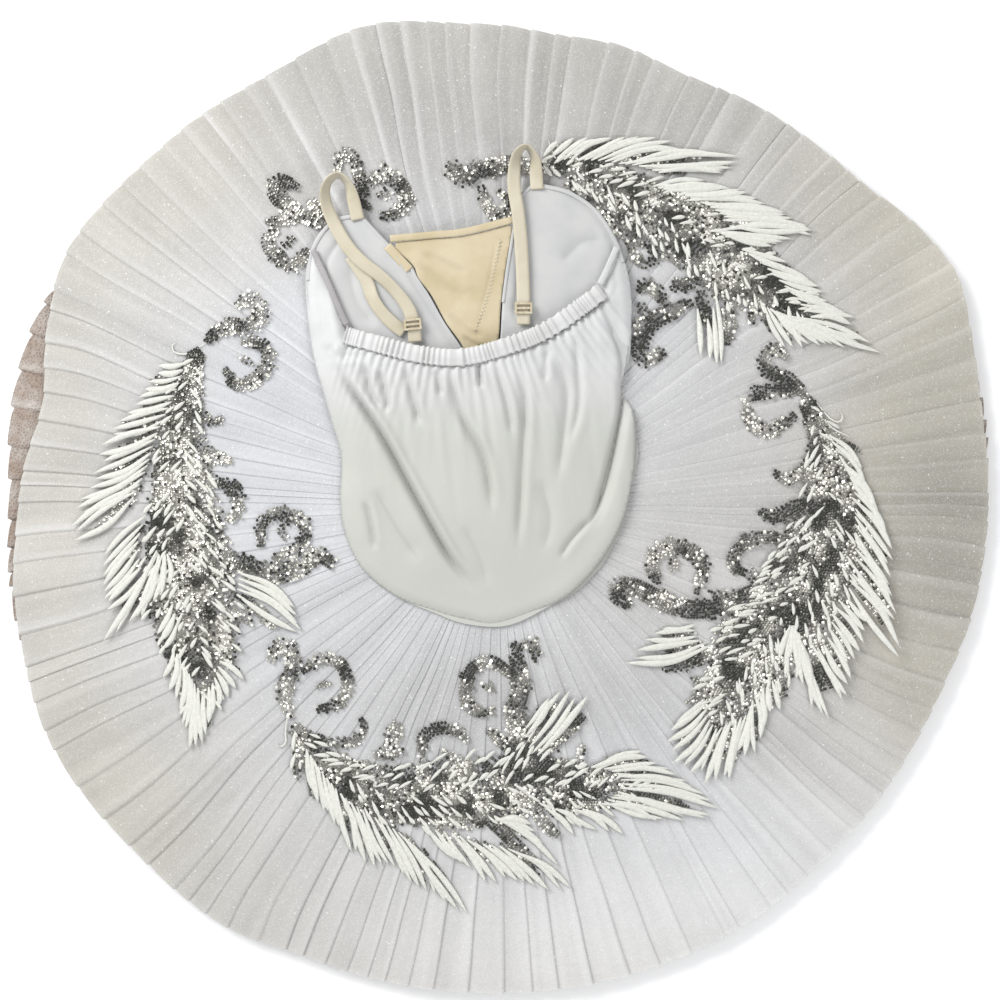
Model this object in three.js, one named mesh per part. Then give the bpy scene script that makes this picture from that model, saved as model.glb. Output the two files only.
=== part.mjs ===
// Ballet tutu laid flat on its underside, with its camisole bodice folded forward over the plate.
// Millimetres, +Z up. +Y points to the front of the garment, +X to the right as seen from above,
// and the surface that it lies on is z = 0. Every cloth piece is a closed wall of its own.
import * as THREE from 'three';

// ---- Driving dimensions ----------------------------------------------------------------------
const CLOTH = 1.2;              // thickness of a cloth or net wall
const SEAM_GAP = 0.4;           // air between pieces that are sewn together
const PLEATS = 112;             // knife pleats round the plate
const PLEAT_FOLD = 0.82;        // where in its width a pleat folds back under
const HIP_HEIGHT = 32;          // top layer's height at the hip seam
const HEM_HEIGHT = 15;          // top layer's height at the hem
const PLEAT_RISE_HIP = 1.0;     // half height of a pleat at the hip seam
const PLEAT_RISE_HEM = 2.0;     // half height of a pleat at the hem
const NET_TUCK = 6;             // how far the net runs in under the hip yoke
const YOKE_WIDTH = 36;          // hip yoke, from its outer edge inwards
const YOKE_LIFT = 1.6;          // underside of the yoke above the net's hip edge
const FRONT_LIFT = 6.4;         // top of the front panels above the plate
const BACK_LIFT_FRONT = 8.2;    // edge of the back panels above the plate, where they lie on the front
const BACK_LIFT_HIP = 5.0;      // the same where they are sewn to the yoke
const BACK_BULGE = 12;          // how far the slack back stands up in its middle
const FRONT_BULGE = 5;          // the same of the cups
const CASING_WIDTH = 17;        // elastic casing along the back neckline
const CASING_THICK = 4.2;
const CASING_STEPS = 36;
const CASING_GATHER = 0.5;      // half height of a gather of the casing
const YOKE_SIDES = 48;
const BINDING_WIDTH = 7;        // binding of the insert's top edge
const ARMHOLE_WIDTH = 6;
const STRAP_WIDTH = 13;
const STRAP_THICK = 1.4;
const SLIDER = { width: 17, length: 11, bar: 2, thick: 1.6, lift: 3.2 };
const APPLIQUE_LIFT = 1.2;      // underside of an applique above the pleats that it is sewn to

// Where along +Y each rise of the bodice starts, and the length that it takes.
const CUPS = { from: 100, length: 80 };             // the cups' bulge
const OVER_FRONT = { from: 20, length: 90 };        // back panels, from the yoke onto the front
const BACK_SLACK = { from: -118, length: 110 };     // the slack back's bulge
const SLACK_ROUNDNESS = 0.6;                        // of the bulge's section, 1 for a parabola

// Section of the casing, from its top edge down, as shares of its width.
const CASING_SECTION = [
  { across: 0, rise: -1.2 }, { across: 0.3, rise: 0 }, { across: 0.7, rise: 0 },
  { across: 0.97, rise: -1.2 },
];
const CASING_FLATTER_BELOW = 0.4;

// Outer edge of the hip yoke, by angle round the plate.
const HIP = [
  { angle: -92, radius: 119 }, { angle: -63, radius: 110 }, { angle: -43, radius: 114 },
  { angle: -22, radius: 118 }, { angle: 2, radius: 126 }, { angle: 28, radius: 152 },
  { angle: 38, radius: 158 }, { angle: 62, radius: 120 }, { angle: 90, radius: 102 },
  { angle: 125, radius: 128 }, { angle: 143, radius: 150 }, { angle: 161, radius: 161 },
  { angle: 178, radius: 155 }, { angle: 190, radius: 152 }, { angle: 205, radius: 147 },
  { angle: 221, radius: 133 }, { angle: 240, radius: 122 },
];

// Hem of the glitter layer and of the long net layer under it, by angle round the plate.
const HEM = [
  { angle: 0, top: 486, under: 484 }, { angle: 12, top: 489, under: 493 },
  { angle: 20, top: 499, under: 490 }, { angle: 27, top: 512, under: 500 },
  { angle: 34, top: 500, under: 490 }, { angle: 42, top: 481, under: 474 },
  { angle: 54, top: 475, under: 466 }, { angle: 67, top: 466, under: 460 },
  { angle: 75, top: 474, under: 466 }, { angle: 82, top: 471, under: 464 },
  { angle: 92, top: 479, under: 470 }, { angle: 106, top: 496, under: 484 },
  { angle: 118, top: 485, under: 476 }, { angle: 132, top: 489, under: 480 },
  { angle: 150, top: 499, under: 490 }, { angle: 158, top: 484, under: 498 },
  { angle: 167, top: 463, under: 496 }, { angle: 179, top: 477, under: 487 },
  { angle: 192, top: 491, under: 494 }, { angle: 208, top: 504, under: 494 },
  { angle: 226, top: 498, under: 488 }, { angle: 237, top: 499, under: 488 },
  { angle: 246, top: 487, under: 478 }, { angle: 270, top: 484, under: 475 },
  { angle: 298, top: 483, under: 474 }, { angle: 315, top: 477, under: 469 },
  { angle: 336, top: 475, under: 467 }, { angle: 349, top: 483, under: 476 },
];

// Short net layers that hold the plate out, from the surface up. lift is the underside's height.
const SHORT_NETS = [
  { name: 'net_layer_1', reach: 330, hipLift: 0, hemLift: 0 },
  { name: 'net_layer_2', reach: 400, hipLift: 8, hemLift: 1.7 },
  { name: 'net_layer_3', reach: 442, hipLift: 14, hemLift: 3.4 },
];
const SHORT_NET_SIDES = 48;

// Full-length pleated layers: which hem they have, their heights, and half a pleat's height at the hem.
const LONG_NET = { name: 'net_long', column: 'under', hipLift: 22, hemLift: 8, rise: 1.6, look: 'taupe' };
const SKIRT_TOP = {
  name: 'skirt_top', column: 'top', hipLift: HIP_HEIGHT, hemLift: HEM_HEIGHT, rise: PLEAT_RISE_HEM,
  look: 'glitter',
};

// Sides of the laid bodice, from its armpits to the point of its back.
const BODICE_SIDES = [
  { y: 318, left: -150, right: 48 }, { y: 285, left: -162, right: 103 },
  { y: 254, left: -187, right: 118 }, { y: 220, left: -192, right: 131 },
  { y: 154, left: -185, right: 131 }, { y: 104, left: -171, right: 122 },
  { y: 48, left: -156, right: 119 }, { y: 5, left: -157, right: 112 },
  { y: -28, left: -152, right: 100 }, { y: -62, left: -137, right: 78 },
  { y: -88, left: -108, right: 52 }, { y: -118, left: -36, right: 24 },
];

// Top edge of the elastic casing, from the left armhole to the right one.
const NECKLINE = [
  { x: -149, y: 176 }, { x: -116, y: 167 }, { x: -77, y: 157 }, { x: -37, y: 154 },
  { x: 3, y: 164 }, { x: 43, y: 180 }, { x: 82, y: 207 }, { x: 96, y: 218 },
];

// Flat pieces of the bodice: four edges each, left and right from top to bottom.
const PANELS = [
  {
    name: 'bodice_side_left', layer: 'back', across: 3, along: 14,
    left: [[-186, 254], [-191, 220], [-184, 154], [-166, 88], [-155, 48], [-156, 5], [-151, -28],
      [-134, -62], [-101, -89], [-63, -106], [-32, -114.5]],
    right: [[-183, 255], [-169, 222], [-154, 185], [-156.5, 158], [-151, 121], [-118, 71], [-85, 11],
      [-54, -48], [-36, -90], [-31, -114]],
  },
  {
    name: 'bodice_side_right', layer: 'back', across: 2, along: 8,
    left: [[116, 255], [102.5, 222], [111.5, 205], [119.5, 168], [122.5, 140], [119.5, 112]],
    right: [[118, 254], [129, 220], [130.5, 187], [129, 150], [124.5, 130], [121, 111]],
  },
  {
    name: 'bodice_back', layer: 'back', across: 12, along: 13,
    top: [[-146, 154], [-112, 147], [-75, 138.5], [-37, 135.5], [9, 146], [51.5, 162.5], [93, 190.5],
      [103, 199]],
    left: [[-146, 154], [-147, 121], [-115, 71], [-82, 11], [-51, -48], [-33, -90], [-28.5, -114]],
    right: [[103, 199], [115.5, 165], [118.5, 140], [116, 110], [114, 71], [110, 38], [99, 11], [91, -12],
      [76, -44], [46, -79], [16, -109]],
    bottom: [[-28.5, -114], [-4, -117.5], [16, -109]],
  },
  {
    name: 'front_left', layer: 'front', across: 6, along: 11,
    left: [[-141, 288], [-160, 284], [-176, 271], [-186, 251], [-190, 220], [-183, 176], [-169, 130],
      [-152, 107]],
    right: [[-136, 289], [-116, 266], [-101, 251], [-88, 231], [-71, 207], [-55, 181], [-38, 157],
      [-30, 131], [-22, 107]],
  },
  {
    name: 'front_right', layer: 'front', across: 6, along: 11,
    left: [[34, 318], [16.5, 303], [16.5, 286], [12.5, 262], [7.5, 231], [3.5, 200], [1.5, 167],
      [-1.5, 131], [-4.5, 107]],
    right: [[42, 318], [69, 311], [96, 293], [116, 263], [129, 220], [130, 176], [123, 130], [112, 107]],
  },
  {
    name: 'neck_insert', layer: 'front', across: 6, along: 8,
    top: [[-107, 258], [-67, 262.5], [-33, 265], [14, 277.5]],
    left: [[-107, 258], [-98, 250], [-85, 230.5], [-68, 206.5], [-52, 180.5], [-35.5, 156.5], [-27.5, 131],
      [-19.5, 107]],
    right: [[14, 277.5], [11.5, 262], [6, 231], [2, 200], [0, 167], [-3, 131], [-6, 107]],
    bottom: [[-19.5, 107], [-6, 107]],
  },
];

// Narrow bands along an edge: centre line, width and height above the layer that they finish.
const BANDS = [
  {
    name: 'insert_binding', layer: 'front', width: BINDING_WIDTH, thick: CLOTH + 0.6, steps: 16,
    line: [[-107, 266.5], [-67, 268], [-33, 270.5], [14.5, 283]],
  },
  {
    name: 'armhole_binding_left', layer: 'back', width: ARMHOLE_WIDTH, thick: CLOTH, steps: 8,
    line: [[-175, 249], [-161.5, 219], [-144, 181.5]],
  },
  {
    name: 'armhole_binding_right', layer: 'back', width: ARMHOLE_WIDTH, thick: CLOTH, steps: 6,
    line: [[112.5, 256.5], [104, 238], [97, 222.5]],
  },
];

// Elastic straps: route over the deck of front panels, and how far the strap is turned on its edge.
const STRAPS = [
  {
    name: 'strap_left', steps: 30,
    route: [
      { x: -139, y: 282, lift: 1.6, roll: 0 }, { x: -143, y: 300, lift: 3, roll: -10 },
      { x: -148, y: 316, lift: 7, roll: -55 }, { x: -158, y: 325, lift: 9, roll: -70 },
      { x: -168, y: 318, lift: 9, roll: -60 }, { x: -171, y: 304, lift: 8, roll: -40 },
      { x: -165, y: 284, lift: 7, roll: -15 }, { x: -150, y: 257, lift: 6.5, roll: 0 },
      { x: -134, y: 239, lift: 6.5, roll: 10 }, { x: -116, y: 225, lift: 6.5, roll: 25 },
      { x: -100, y: 209, lift: 6.5, roll: 25 }, { x: -88, y: 192, lift: 6, roll: 10 },
      { x: -84, y: 177, lift: 5.5, roll: 0 }, { x: -82, y: 161, lift: 5.2, roll: 0 },
    ],
  },
  {
    name: 'strap_left_return', steps: 12,
    route: [
      { x: -146, y: 246, lift: 2.4, roll: 0 }, { x: -131, y: 223, lift: 2.2, roll: 0 },
      { x: -124, y: 204, lift: 3.6, roll: 15 }, { x: -115, y: 190, lift: 4.4, roll: 20 },
      { x: -103, y: 178, lift: 3.8, roll: 10 }, { x: -93, y: 171, lift: 3, roll: 0 },
    ],
  },
  {
    name: 'strap_right', steps: 26,
    route: [
      { x: 37.5, y: 312, lift: 1.6, roll: 0 }, { x: 36.5, y: 328, lift: 2.2, roll: -10 },
      { x: 35, y: 343, lift: 6, roll: -55 }, { x: 27, y: 353, lift: 8.5, roll: -75 },
      { x: 18, y: 346, lift: 8.5, roll: -55 }, { x: 15, y: 330, lift: 7, roll: -20 },
      { x: 15, y: 311, lift: 6, roll: 0 }, { x: 19, y: 286, lift: 5, roll: 0 },
      { x: 22, y: 253, lift: 4.5, roll: 0 }, { x: 23.5, y: 220, lift: 4.2, roll: 0 },
      { x: 24, y: 195, lift: 4.2, roll: 0 }, { x: 24, y: 178, lift: 4.2, roll: 0 },
    ],
  },
];

const SLIDERS = [
  { name: 'slider_left', x: -84.5, y: 178, lift: 7.2, turn: 6 },
  { name: 'slider_right', x: 24, y: 194, lift: 6, turn: 0 },
];

// Reach of each feather applique: its inner and outer edge by angle round the plate.
const APPLIQUES = [
  {
    name: 'applique_front_left',
    reach: [
      { angle: 104, inner: 306, outer: 340 }, { angle: 112, inner: 296, outer: 372 },
      { angle: 120, inner: 292, outer: 372 }, { angle: 128, inner: 296, outer: 372 },
      { angle: 134, inner: 318, outer: 352 },
    ],
  },
  {
    name: 'applique_front_right',
    reach: [
      { angle: 21, inner: 392, outer: 414 }, { angle: 31, inner: 336, outer: 410 },
      { angle: 37, inner: 218, outer: 418 }, { angle: 50, inner: 222, outer: 414 },
      { angle: 60, inner: 256, outer: 398 }, { angle: 72, inner: 288, outer: 384 },
      { angle: 84, inner: 300, outer: 358 }, { angle: 98, inner: 316, outer: 338 },
    ],
  },
  {
    name: 'applique_left',
    reach: [
      { angle: 139, inner: 300, outer: 322 }, { angle: 150, inner: 258, outer: 345 },
      { angle: 160, inner: 258, outer: 374 }, { angle: 172, inner: 258, outer: 402 },
      { angle: 182, inner: 222, outer: 416 }, { angle: 190, inner: 182, outer: 416 },
      { angle: 199, inner: 182, outer: 410 }, { angle: 209, inner: 288, outer: 400 },
      { angle: 220, inner: 350, outer: 388 },
    ],
  },
  {
    name: 'applique_back',
    reach: [
      { angle: 210, inner: 252, outer: 276 }, { angle: 218, inner: 222, outer: 292 },
      { angle: 228, inner: 210, outer: 330 }, { angle: 240, inner: 230, outer: 366 },
      { angle: 252, inner: 226, outer: 396 }, { angle: 266, inner: 152, outer: 402 },
      { angle: 280, inner: 142, outer: 392 }, { angle: 290, inner: 190, outer: 382 },
      { angle: 300, inner: 270, outer: 378 }, { angle: 306, inner: 340, outer: 374 },
    ],
  },
  {
    name: 'applique_right',
    reach: [
      { angle: -50, inner: 205, outer: 352 }, { angle: -40, inner: 150, outer: 394 },
      { angle: -30, inner: 158, outer: 412 }, { angle: -20, inner: 218, outer: 420 },
      { angle: -10, inner: 232, outer: 412 }, { angle: 0, inner: 262, outer: 392 },
      { angle: 10, inner: 262, outer: 372 }, { angle: 20, inner: 250, outer: 345 },
      { angle: 29, inner: 286, outer: 318 },
    ],
  },
];

// Knickers, folded flat on the surface inside the hip seam: share of the hip outline that each covers.
const KNICKERS = [
  { name: 'knickers_back', share: 0.86, underside: 0 },
  { name: 'knickers_front', share: 0.8, underside: CLOTH + SEAM_GAP },
];
const KNICKER_SIDES = 40;

// ---- Finishes --------------------------------------------------------------------------------
const finish = (color, roughness, metalness = 0) => ({ color, roughness, metalness });
const FINISHES = {
  glitter: finish(0xd4d4da, 0.75),
  net: finish(0xdedee2, 0.9),
  taupe: finish(0xb3a598, 0.9),
  stretch: finish(0xe2e2e4, 0.65),
  nude: finish(0xe9d5a6, 0.7),
  elastic: finish(0xdccfae, 0.45),
  slider: finish(0xd9c8a4, 0.3),
  sequin: finish(0xb9b9b2, 0.3, 0.6),
};

// ---- Numbers ---------------------------------------------------------------------------------
const radians = THREE.MathUtils.degToRad;
const mix = THREE.MathUtils.lerp;
const clamp = THREE.MathUtils.clamp;
const ease = f => f * f * (3 - 2 * f);

// Value of a named column at an angle, eased between the rows on either side, round the circle.
function roundTable(rows, column, angle) {
  const first = rows[0].angle;
  const turned = first + ((((angle - first) % 360) + 360) % 360);
  const next = rows.findIndex(row => row.angle > turned);
  const after = next < 0 ? { ...rows[0], angle: first + 360 } : rows[next];
  const before = next < 0 ? rows[rows.length - 1] : rows[next - 1];
  const f = (turned - before.angle) / (after.angle - before.angle);
  return mix(before[column], after[column], ease(f));
}

// Value of a named column at a place along an ordered key, held at both ends.
function alongTable(rows, key, column, at) {
  const rising = rows[rows.length - 1][key] > rows[0][key];
  const passed = row => (rising ? row[key] > at : row[key] < at);
  const next = rows.findIndex(passed);
  if (next === 0) return rows[0][column];
  if (next < 0) return rows[rows.length - 1][column];
  const before = rows[next - 1];
  const after = rows[next];
  return mix(before[column], after[column], (at - before[key]) / (after[key] - before[key]));
}

const hipRadius = angle => roundTable(HIP, 'radius', angle) - NET_TUCK;
const hemRadius = (angle, column) => roundTable(HEM, column, angle);

function around(angle, radius, z) {
  return new THREE.Vector3(radius * Math.cos(radians(angle)), radius * Math.sin(radians(angle)), z);
}

// How far out on the plate a place lies: 0 at the hip seam and inside it, 1 at the hem.
function outness(x, y) {
  const angle = THREE.MathUtils.radToDeg(Math.atan2(y, x));
  const hip = hipRadius(angle);
  return clamp((Math.hypot(x, y) - hip) / (hemRadius(angle, 'top') - hip), 0, 1);
}

const plateHeight = (x, y) => mix(HIP_HEIGHT, HEM_HEIGHT, outness(x, y));

// Across the bodice: 1 along its middle, 0 at its sides.
function slack(x, y) {
  const left = alongTable(BODICE_SIDES, 'y', 'left', y);
  const right = alongTable(BODICE_SIDES, 'y', 'right', y);
  const side = clamp((2 * x - left - right) / (right - left), -1, 1);
  return (1 - side * side) ** SLACK_ROUNDNESS;
}

const risen = ({ from, length }, y) => ease(clamp((y - from) / length, 0, 1));

// Top of the front panels, and top of the back panels over them.
function frontHeight(x, y) {
  return plateHeight(x, y) + FRONT_LIFT + FRONT_BULGE * slack(x, y) * risen(CUPS, y);
}

function backHeight(x, y) {
  const lift = mix(BACK_LIFT_HIP, BACK_LIFT_FRONT, risen(OVER_FRONT, y));
  return plateHeight(x, y) + lift + BACK_BULGE * slack(x, y) * risen(BACK_SLACK, y);
}

const layerHeight = { front: frontHeight, back: backHeight };

// ---- Solids ----------------------------------------------------------------------------------
function signedVolume(points, triangles) {
  let sum = 0;
  for (const [a, b, c] of triangles) sum += points[a].dot(points[b].clone().cross(points[c])) / 6;
  return sum;
}

function closedBody(points, triangles) {
  const facing = signedVolume(points, triangles) > 0;
  const order = facing ? triangles : triangles.map(([a, b, c]) => [a, c, b]);
  const geometry = new THREE.BufferGeometry();
  geometry.setAttribute('position', new THREE.Float32BufferAttribute(points.flatMap(p => p.toArray()), 3));
  geometry.setIndex(order.flat());
  geometry.computeVertexNormals();
  return geometry;
}

// A wall from a grid of its upper points and the matching grid of its lower ones. A wall that
// closes on itself runs round in its first direction.
function wall(upper, lower, closes = false) {
  const along = upper.length;
  const across = upper[0].length;
  const points = [...upper.flat(), ...lower.flat()];
  const at = (side, i, j) => side * along * across + (i % along) * across + j;
  const triangles = [];
  const quad = (a, b, c, d) => triangles.push([a, b, c], [a, c, d]);
  const last = closes ? along : along - 1;
  for (let i = 0; i < last; i += 1) {
    for (let j = 0; j < across - 1; j += 1) {
      quad(at(0, i, j), at(0, i + 1, j), at(0, i + 1, j + 1), at(0, i, j + 1));
      quad(at(1, i, j), at(1, i, j + 1), at(1, i + 1, j + 1), at(1, i + 1, j));
    }
    quad(at(0, i, 0), at(1, i, 0), at(1, i + 1, 0), at(0, i + 1, 0));
    quad(at(0, i, across - 1), at(0, i + 1, across - 1), at(1, i + 1, across - 1), at(1, i, across - 1));
  }
  if (!closes) {
    for (let j = 0; j < across - 1; j += 1) {
      quad(at(0, 0, j), at(0, 0, j + 1), at(1, 0, j + 1), at(1, 0, j));
      quad(at(0, last, j), at(1, last, j), at(1, last, j + 1), at(0, last, j + 1));
    }
  }
  return closedBody(points, triangles);
}

const lowered = (grid, thick) => grid.map(row => row.map(p => new THREE.Vector3(p.x, p.y, p.z - thick)));

function mesh(name, geometry, look) {
  const material = new THREE.MeshStandardMaterial({ ...FINISHES[look], side: THREE.FrontSide });
  const made = new THREE.Mesh(geometry, material);
  made.name = name;
  return made;
}

// ---- Skirt -----------------------------------------------------------------------------------
// Columns of the pleats: each pleat rises to its fold and drops steeply under the next one.
const PLEAT_COLUMNS = Array.from({ length: PLEATS }, (_, i) => [
  { angle: (i * 360) / PLEATS, side: -1 },
  { angle: ((i + PLEAT_FOLD) * 360) / PLEATS, side: 1 },
]).flat();

function pleatedLayer({ name, column, hipLift, hemLift, rise, look }) {
  const upper = PLEAT_COLUMNS.map(({ angle, side }) => [
    around(angle, hipRadius(angle), hipLift + side * PLEAT_RISE_HIP),
    around(angle, hemRadius(angle, column), hemLift + side * rise),
  ]);
  return mesh(name, wall(upper, lowered(upper, CLOTH), true), look);
}

function shortNet({ name, reach, hipLift, hemLift }) {
  const upper = Array.from({ length: SHORT_NET_SIDES }, (_, i) => {
    const angle = (i * 360) / SHORT_NET_SIDES;
    return [around(angle, hipRadius(angle), hipLift + CLOTH), around(angle, reach, hemLift + CLOTH)];
  });
  return mesh(name, wall(upper, lowered(upper, CLOTH), true), 'net');
}

// Top of the pleats on one of their columns, at a radius between the hip seam and the hem.
function pleatTop({ angle, side }, radius) {
  const hip = hipRadius(angle);
  const out = (radius - hip) / (hemRadius(angle, 'top') - hip);
  return mix(HIP_HEIGHT, HEM_HEIGHT, out) + side * mix(PLEAT_RISE_HIP, PLEAT_RISE_HEM, out);
}

function applique({ name, reach }) {
  const first = reach[0].angle;
  const last = reach[reach.length - 1].angle;
  const columns = PLEAT_COLUMNS
    .filter(({ side }) => side > 0)
    .map(({ angle, side }) => ({ side, angle: first + ((((angle - first) % 360) + 360) % 360) }))
    .filter(({ angle }) => angle <= last)
    .sort((a, b) => a.angle - b.angle);
  const upper = columns.map(column => ['inner', 'outer'].map(edge => {
    const radius = alongTable(reach, 'angle', edge, column.angle);
    return around(column.angle, radius, pleatTop(column, radius) + APPLIQUE_LIFT + CLOTH);
  }));
  return mesh(name, wall(upper, lowered(upper, CLOTH)), 'sequin');
}

// ---- Hip yoke and knickers -------------------------------------------------------------------
function hipYoke() {
  const upper = Array.from({ length: YOKE_SIDES }, (_, i) => {
    const angle = (i * 360) / YOKE_SIDES;
    const radius = roundTable(HIP, 'radius', angle);
    const z = HIP_HEIGHT + YOKE_LIFT + CLOTH;
    return [around(angle, radius - YOKE_WIDTH, z), around(angle, radius, z)];
  });
  return mesh('hip_yoke', wall(upper, lowered(upper, CLOTH), true), 'stretch');
}

// Each half is a flat piece cut to the outline of the hip seam.
function knickers({ name, share, underside }) {
  const outline = new THREE.Shape(Array.from({ length: KNICKER_SIDES }, (_, i) => {
    const angle = (i * 360) / KNICKER_SIDES;
    const { x, y } = around(angle, hipRadius(angle) * share, 0);
    return new THREE.Vector2(x, y);
  }));
  const geometry = new THREE.ExtrudeGeometry(outline, { depth: CLOTH, bevelEnabled: false });
  const made = mesh(name, geometry, 'stretch');
  made.position.z = underside;
  return made;
}

// ---- Bodice ----------------------------------------------------------------------------------
const flatCurve = pairs => new THREE.CatmullRomCurve3(pairs.map(([x, y]) => new THREE.Vector3(x, y, 0)));
const straight = (a, b) => [a, b];

// Points of a four-sided piece whose edges are curves: a Coons patch laid on its layer.
function panelGrid({ left, right, top, bottom, across, along, layer }) {
  const edges = {
    left: flatCurve(left),
    right: flatCurve(right),
    top: flatCurve(top ?? straight(left[0], right[0])),
    bottom: flatCurve(bottom ?? straight(left[left.length - 1], right[right.length - 1])),
  };
  const corner = (x, y) => (y ? edges.bottom : edges.top).getPoint(x);
  return Array.from({ length: along + 1 }, (_, row) => {
    const v = row / along;
    return Array.from({ length: across + 1 }, (_unused, step) => {
      const u = step / across;
      const ruledDown = edges.top.getPoint(u).lerp(edges.bottom.getPoint(u), v);
      const ruledAcross = edges.left.getPoint(v).lerp(edges.right.getPoint(v), u);
      const flat = corner(0, 0).lerp(corner(1, 0), u).lerp(corner(0, 1).lerp(corner(1, 1), u), v);
      const point = ruledDown.add(ruledAcross).sub(flat);
      return point.setZ(layerHeight[layer](point.x, point.y));
    });
  });
}

function panel(piece, look) {
  const upper = panelGrid(piece);
  return mesh(piece.name, wall(upper, lowered(upper, CLOTH)), look);
}

function band({ name, line, width, thick, steps, layer }, look) {
  const curve = flatCurve(line);
  const upper = Array.from({ length: steps + 1 }, (_, i) => {
    const centre = curve.getPoint(i / steps);
    const tangent = curve.getTangent(i / steps);
    const side = new THREE.Vector3(-tangent.y, tangent.x, 0).multiplyScalar(width / 2);
    return [-1, 1].map(sign => {
      const point = centre.clone().addScaledVector(side, sign);
      return point.setZ(layerHeight[layer](point.x, point.y) + thick - CLOTH);
    });
  });
  return mesh(name, wall(upper, lowered(upper, thick)), look);
}

// The casing is drawn up by its elastic, so it stands thicker than the panel, with a round back.
function casing() {
  const curve = flatCurve(NECKLINE.map(({ x, y }) => [x, y]));
  const place = (i, across, z) => {
    const centre = curve.getPoint(i / CASING_STEPS);
    const tangent = curve.getTangent(i / CASING_STEPS);
    const down = new THREE.Vector3(tangent.y, -tangent.x, 0);
    const point = centre.addScaledVector(down, across * CASING_WIDTH);
    return point.setZ(backHeight(point.x, point.y) + z);
  };
  const rowsOf = height => Array.from({ length: CASING_STEPS + 1 }, (_, i) =>
    CASING_SECTION.map(({ across, rise }) => place(i, across, height(i, rise))));
  const gather = i => (i % 2 ? CASING_GATHER : -CASING_GATHER);
  const upper = rowsOf((i, rise) => rise + CASING_THICK - 2 * CLOTH + gather(i));
  const lower = rowsOf((i, rise) => -rise * CASING_FLATTER_BELOW - CLOTH);
  return mesh('back_casing', wall(upper, lower), 'stretch');
}

// ---- Straps ----------------------------------------------------------------------------------
function strap({ name, route, steps }) {
  const curve = new THREE.CatmullRomCurve3(
    route.map(({ x, y, lift }) => new THREE.Vector3(x, y, frontHeight(x, y) + lift)),
  );
  const rollAt = f => {
    const place = f * (route.length - 1);
    const before = Math.min(Math.floor(place), route.length - 2);
    return radians(mix(route[before].roll, route[before + 1].roll, place - before));
  };
  const corners = Array.from({ length: steps + 1 }, (_, i) => {
    const f = i / steps;
    const centre = curve.getPoint(f);
    const tangent = curve.getTangent(f);
    const flatSide = new THREE.Vector3(-tangent.y, tangent.x, 0).normalize();
    const side = flatSide.applyAxisAngle(tangent, rollAt(f)).multiplyScalar(STRAP_WIDTH / 2);
    const up = tangent.clone().cross(side).normalize().multiplyScalar(STRAP_THICK / 2);
    return { centre, side, up };
  });
  const row = sign => corners.map(({ centre, side, up }) =>
    [-1, 1].map(edge => centre.clone().addScaledVector(side, edge).addScaledVector(up, sign)));
  return mesh(name, wall(row(1), row(-1)), 'elastic');
}

// A slider is a small frame with a bar across its middle.
function slider({ name, x, y, lift, turn }) {
  const { width, length, bar, thick } = SLIDER;
  const outline = new THREE.Shape();
  outline.moveTo(-width / 2, -length / 2);
  outline.lineTo(width / 2, -length / 2);
  outline.lineTo(width / 2, length / 2);
  outline.lineTo(-width / 2, length / 2);
  outline.closePath();
  const window = (low, high) => {
    const hole = new THREE.Path();
    hole.moveTo(-width / 2 + bar, low);
    hole.lineTo(-width / 2 + bar, high);
    hole.lineTo(width / 2 - bar, high);
    hole.lineTo(width / 2 - bar, low);
    hole.closePath();
    return hole;
  };
  outline.holes.push(window(bar / 2, length / 2 - bar), window(bar - length / 2, -bar / 2));
  const geometry = new THREE.ExtrudeGeometry(outline, { depth: thick, bevelEnabled: false });
  const made = mesh(name, geometry, 'slider');
  made.position.set(x, y, frontHeight(x, y) + lift);
  made.rotation.z = radians(turn);
  return made;
}

// ---- Whole garment ---------------------------------------------------------------------------
const LOOKS = { neck_insert: 'nude', insert_binding: 'nude' };
const tutu = new THREE.Group();
tutu.name = 'tutu';
tutu.add(...KNICKERS.map(knickers));
tutu.add(...SHORT_NETS.map(shortNet));
tutu.add(pleatedLayer(LONG_NET), pleatedLayer(SKIRT_TOP));
tutu.add(hipYoke());
tutu.add(...APPLIQUES.map(applique));
tutu.add(...PANELS.map(piece => panel(piece, LOOKS[piece.name] ?? 'stretch')));
tutu.add(...BANDS.map(piece => band(piece, LOOKS[piece.name] ?? 'stretch')));
tutu.add(casing());
tutu.add(...STRAPS.map(strap));
tutu.add(...SLIDERS.map(slider));

// The origin is the middle of the whole garment's footprint, on the surface.
const footprint = new THREE.Box3().setFromObject(tutu);
const middle = footprint.getCenter(new THREE.Vector3());
tutu.position.set(-middle.x, -middle.y, 0);

export default tutu;
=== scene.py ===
"""Looks of a ballet tutu that lies flat on its underside, its bodice folded forward over the plate.

Metres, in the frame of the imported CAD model: +Y is the front of the garment and z = 0 the floor.
Tables of places are millimetres from the middle of the net plate, which comes from the CAD node
net_layer_1, and heights come from the CAD nodes. The feather and scroll trim is ordinary costume
trim, drawn stroke by stroke from the tables below.
"""
import math

import bmesh
import bpy
import numpy as np
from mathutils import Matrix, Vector
from mathutils.bvhtree import BVHTree


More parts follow.
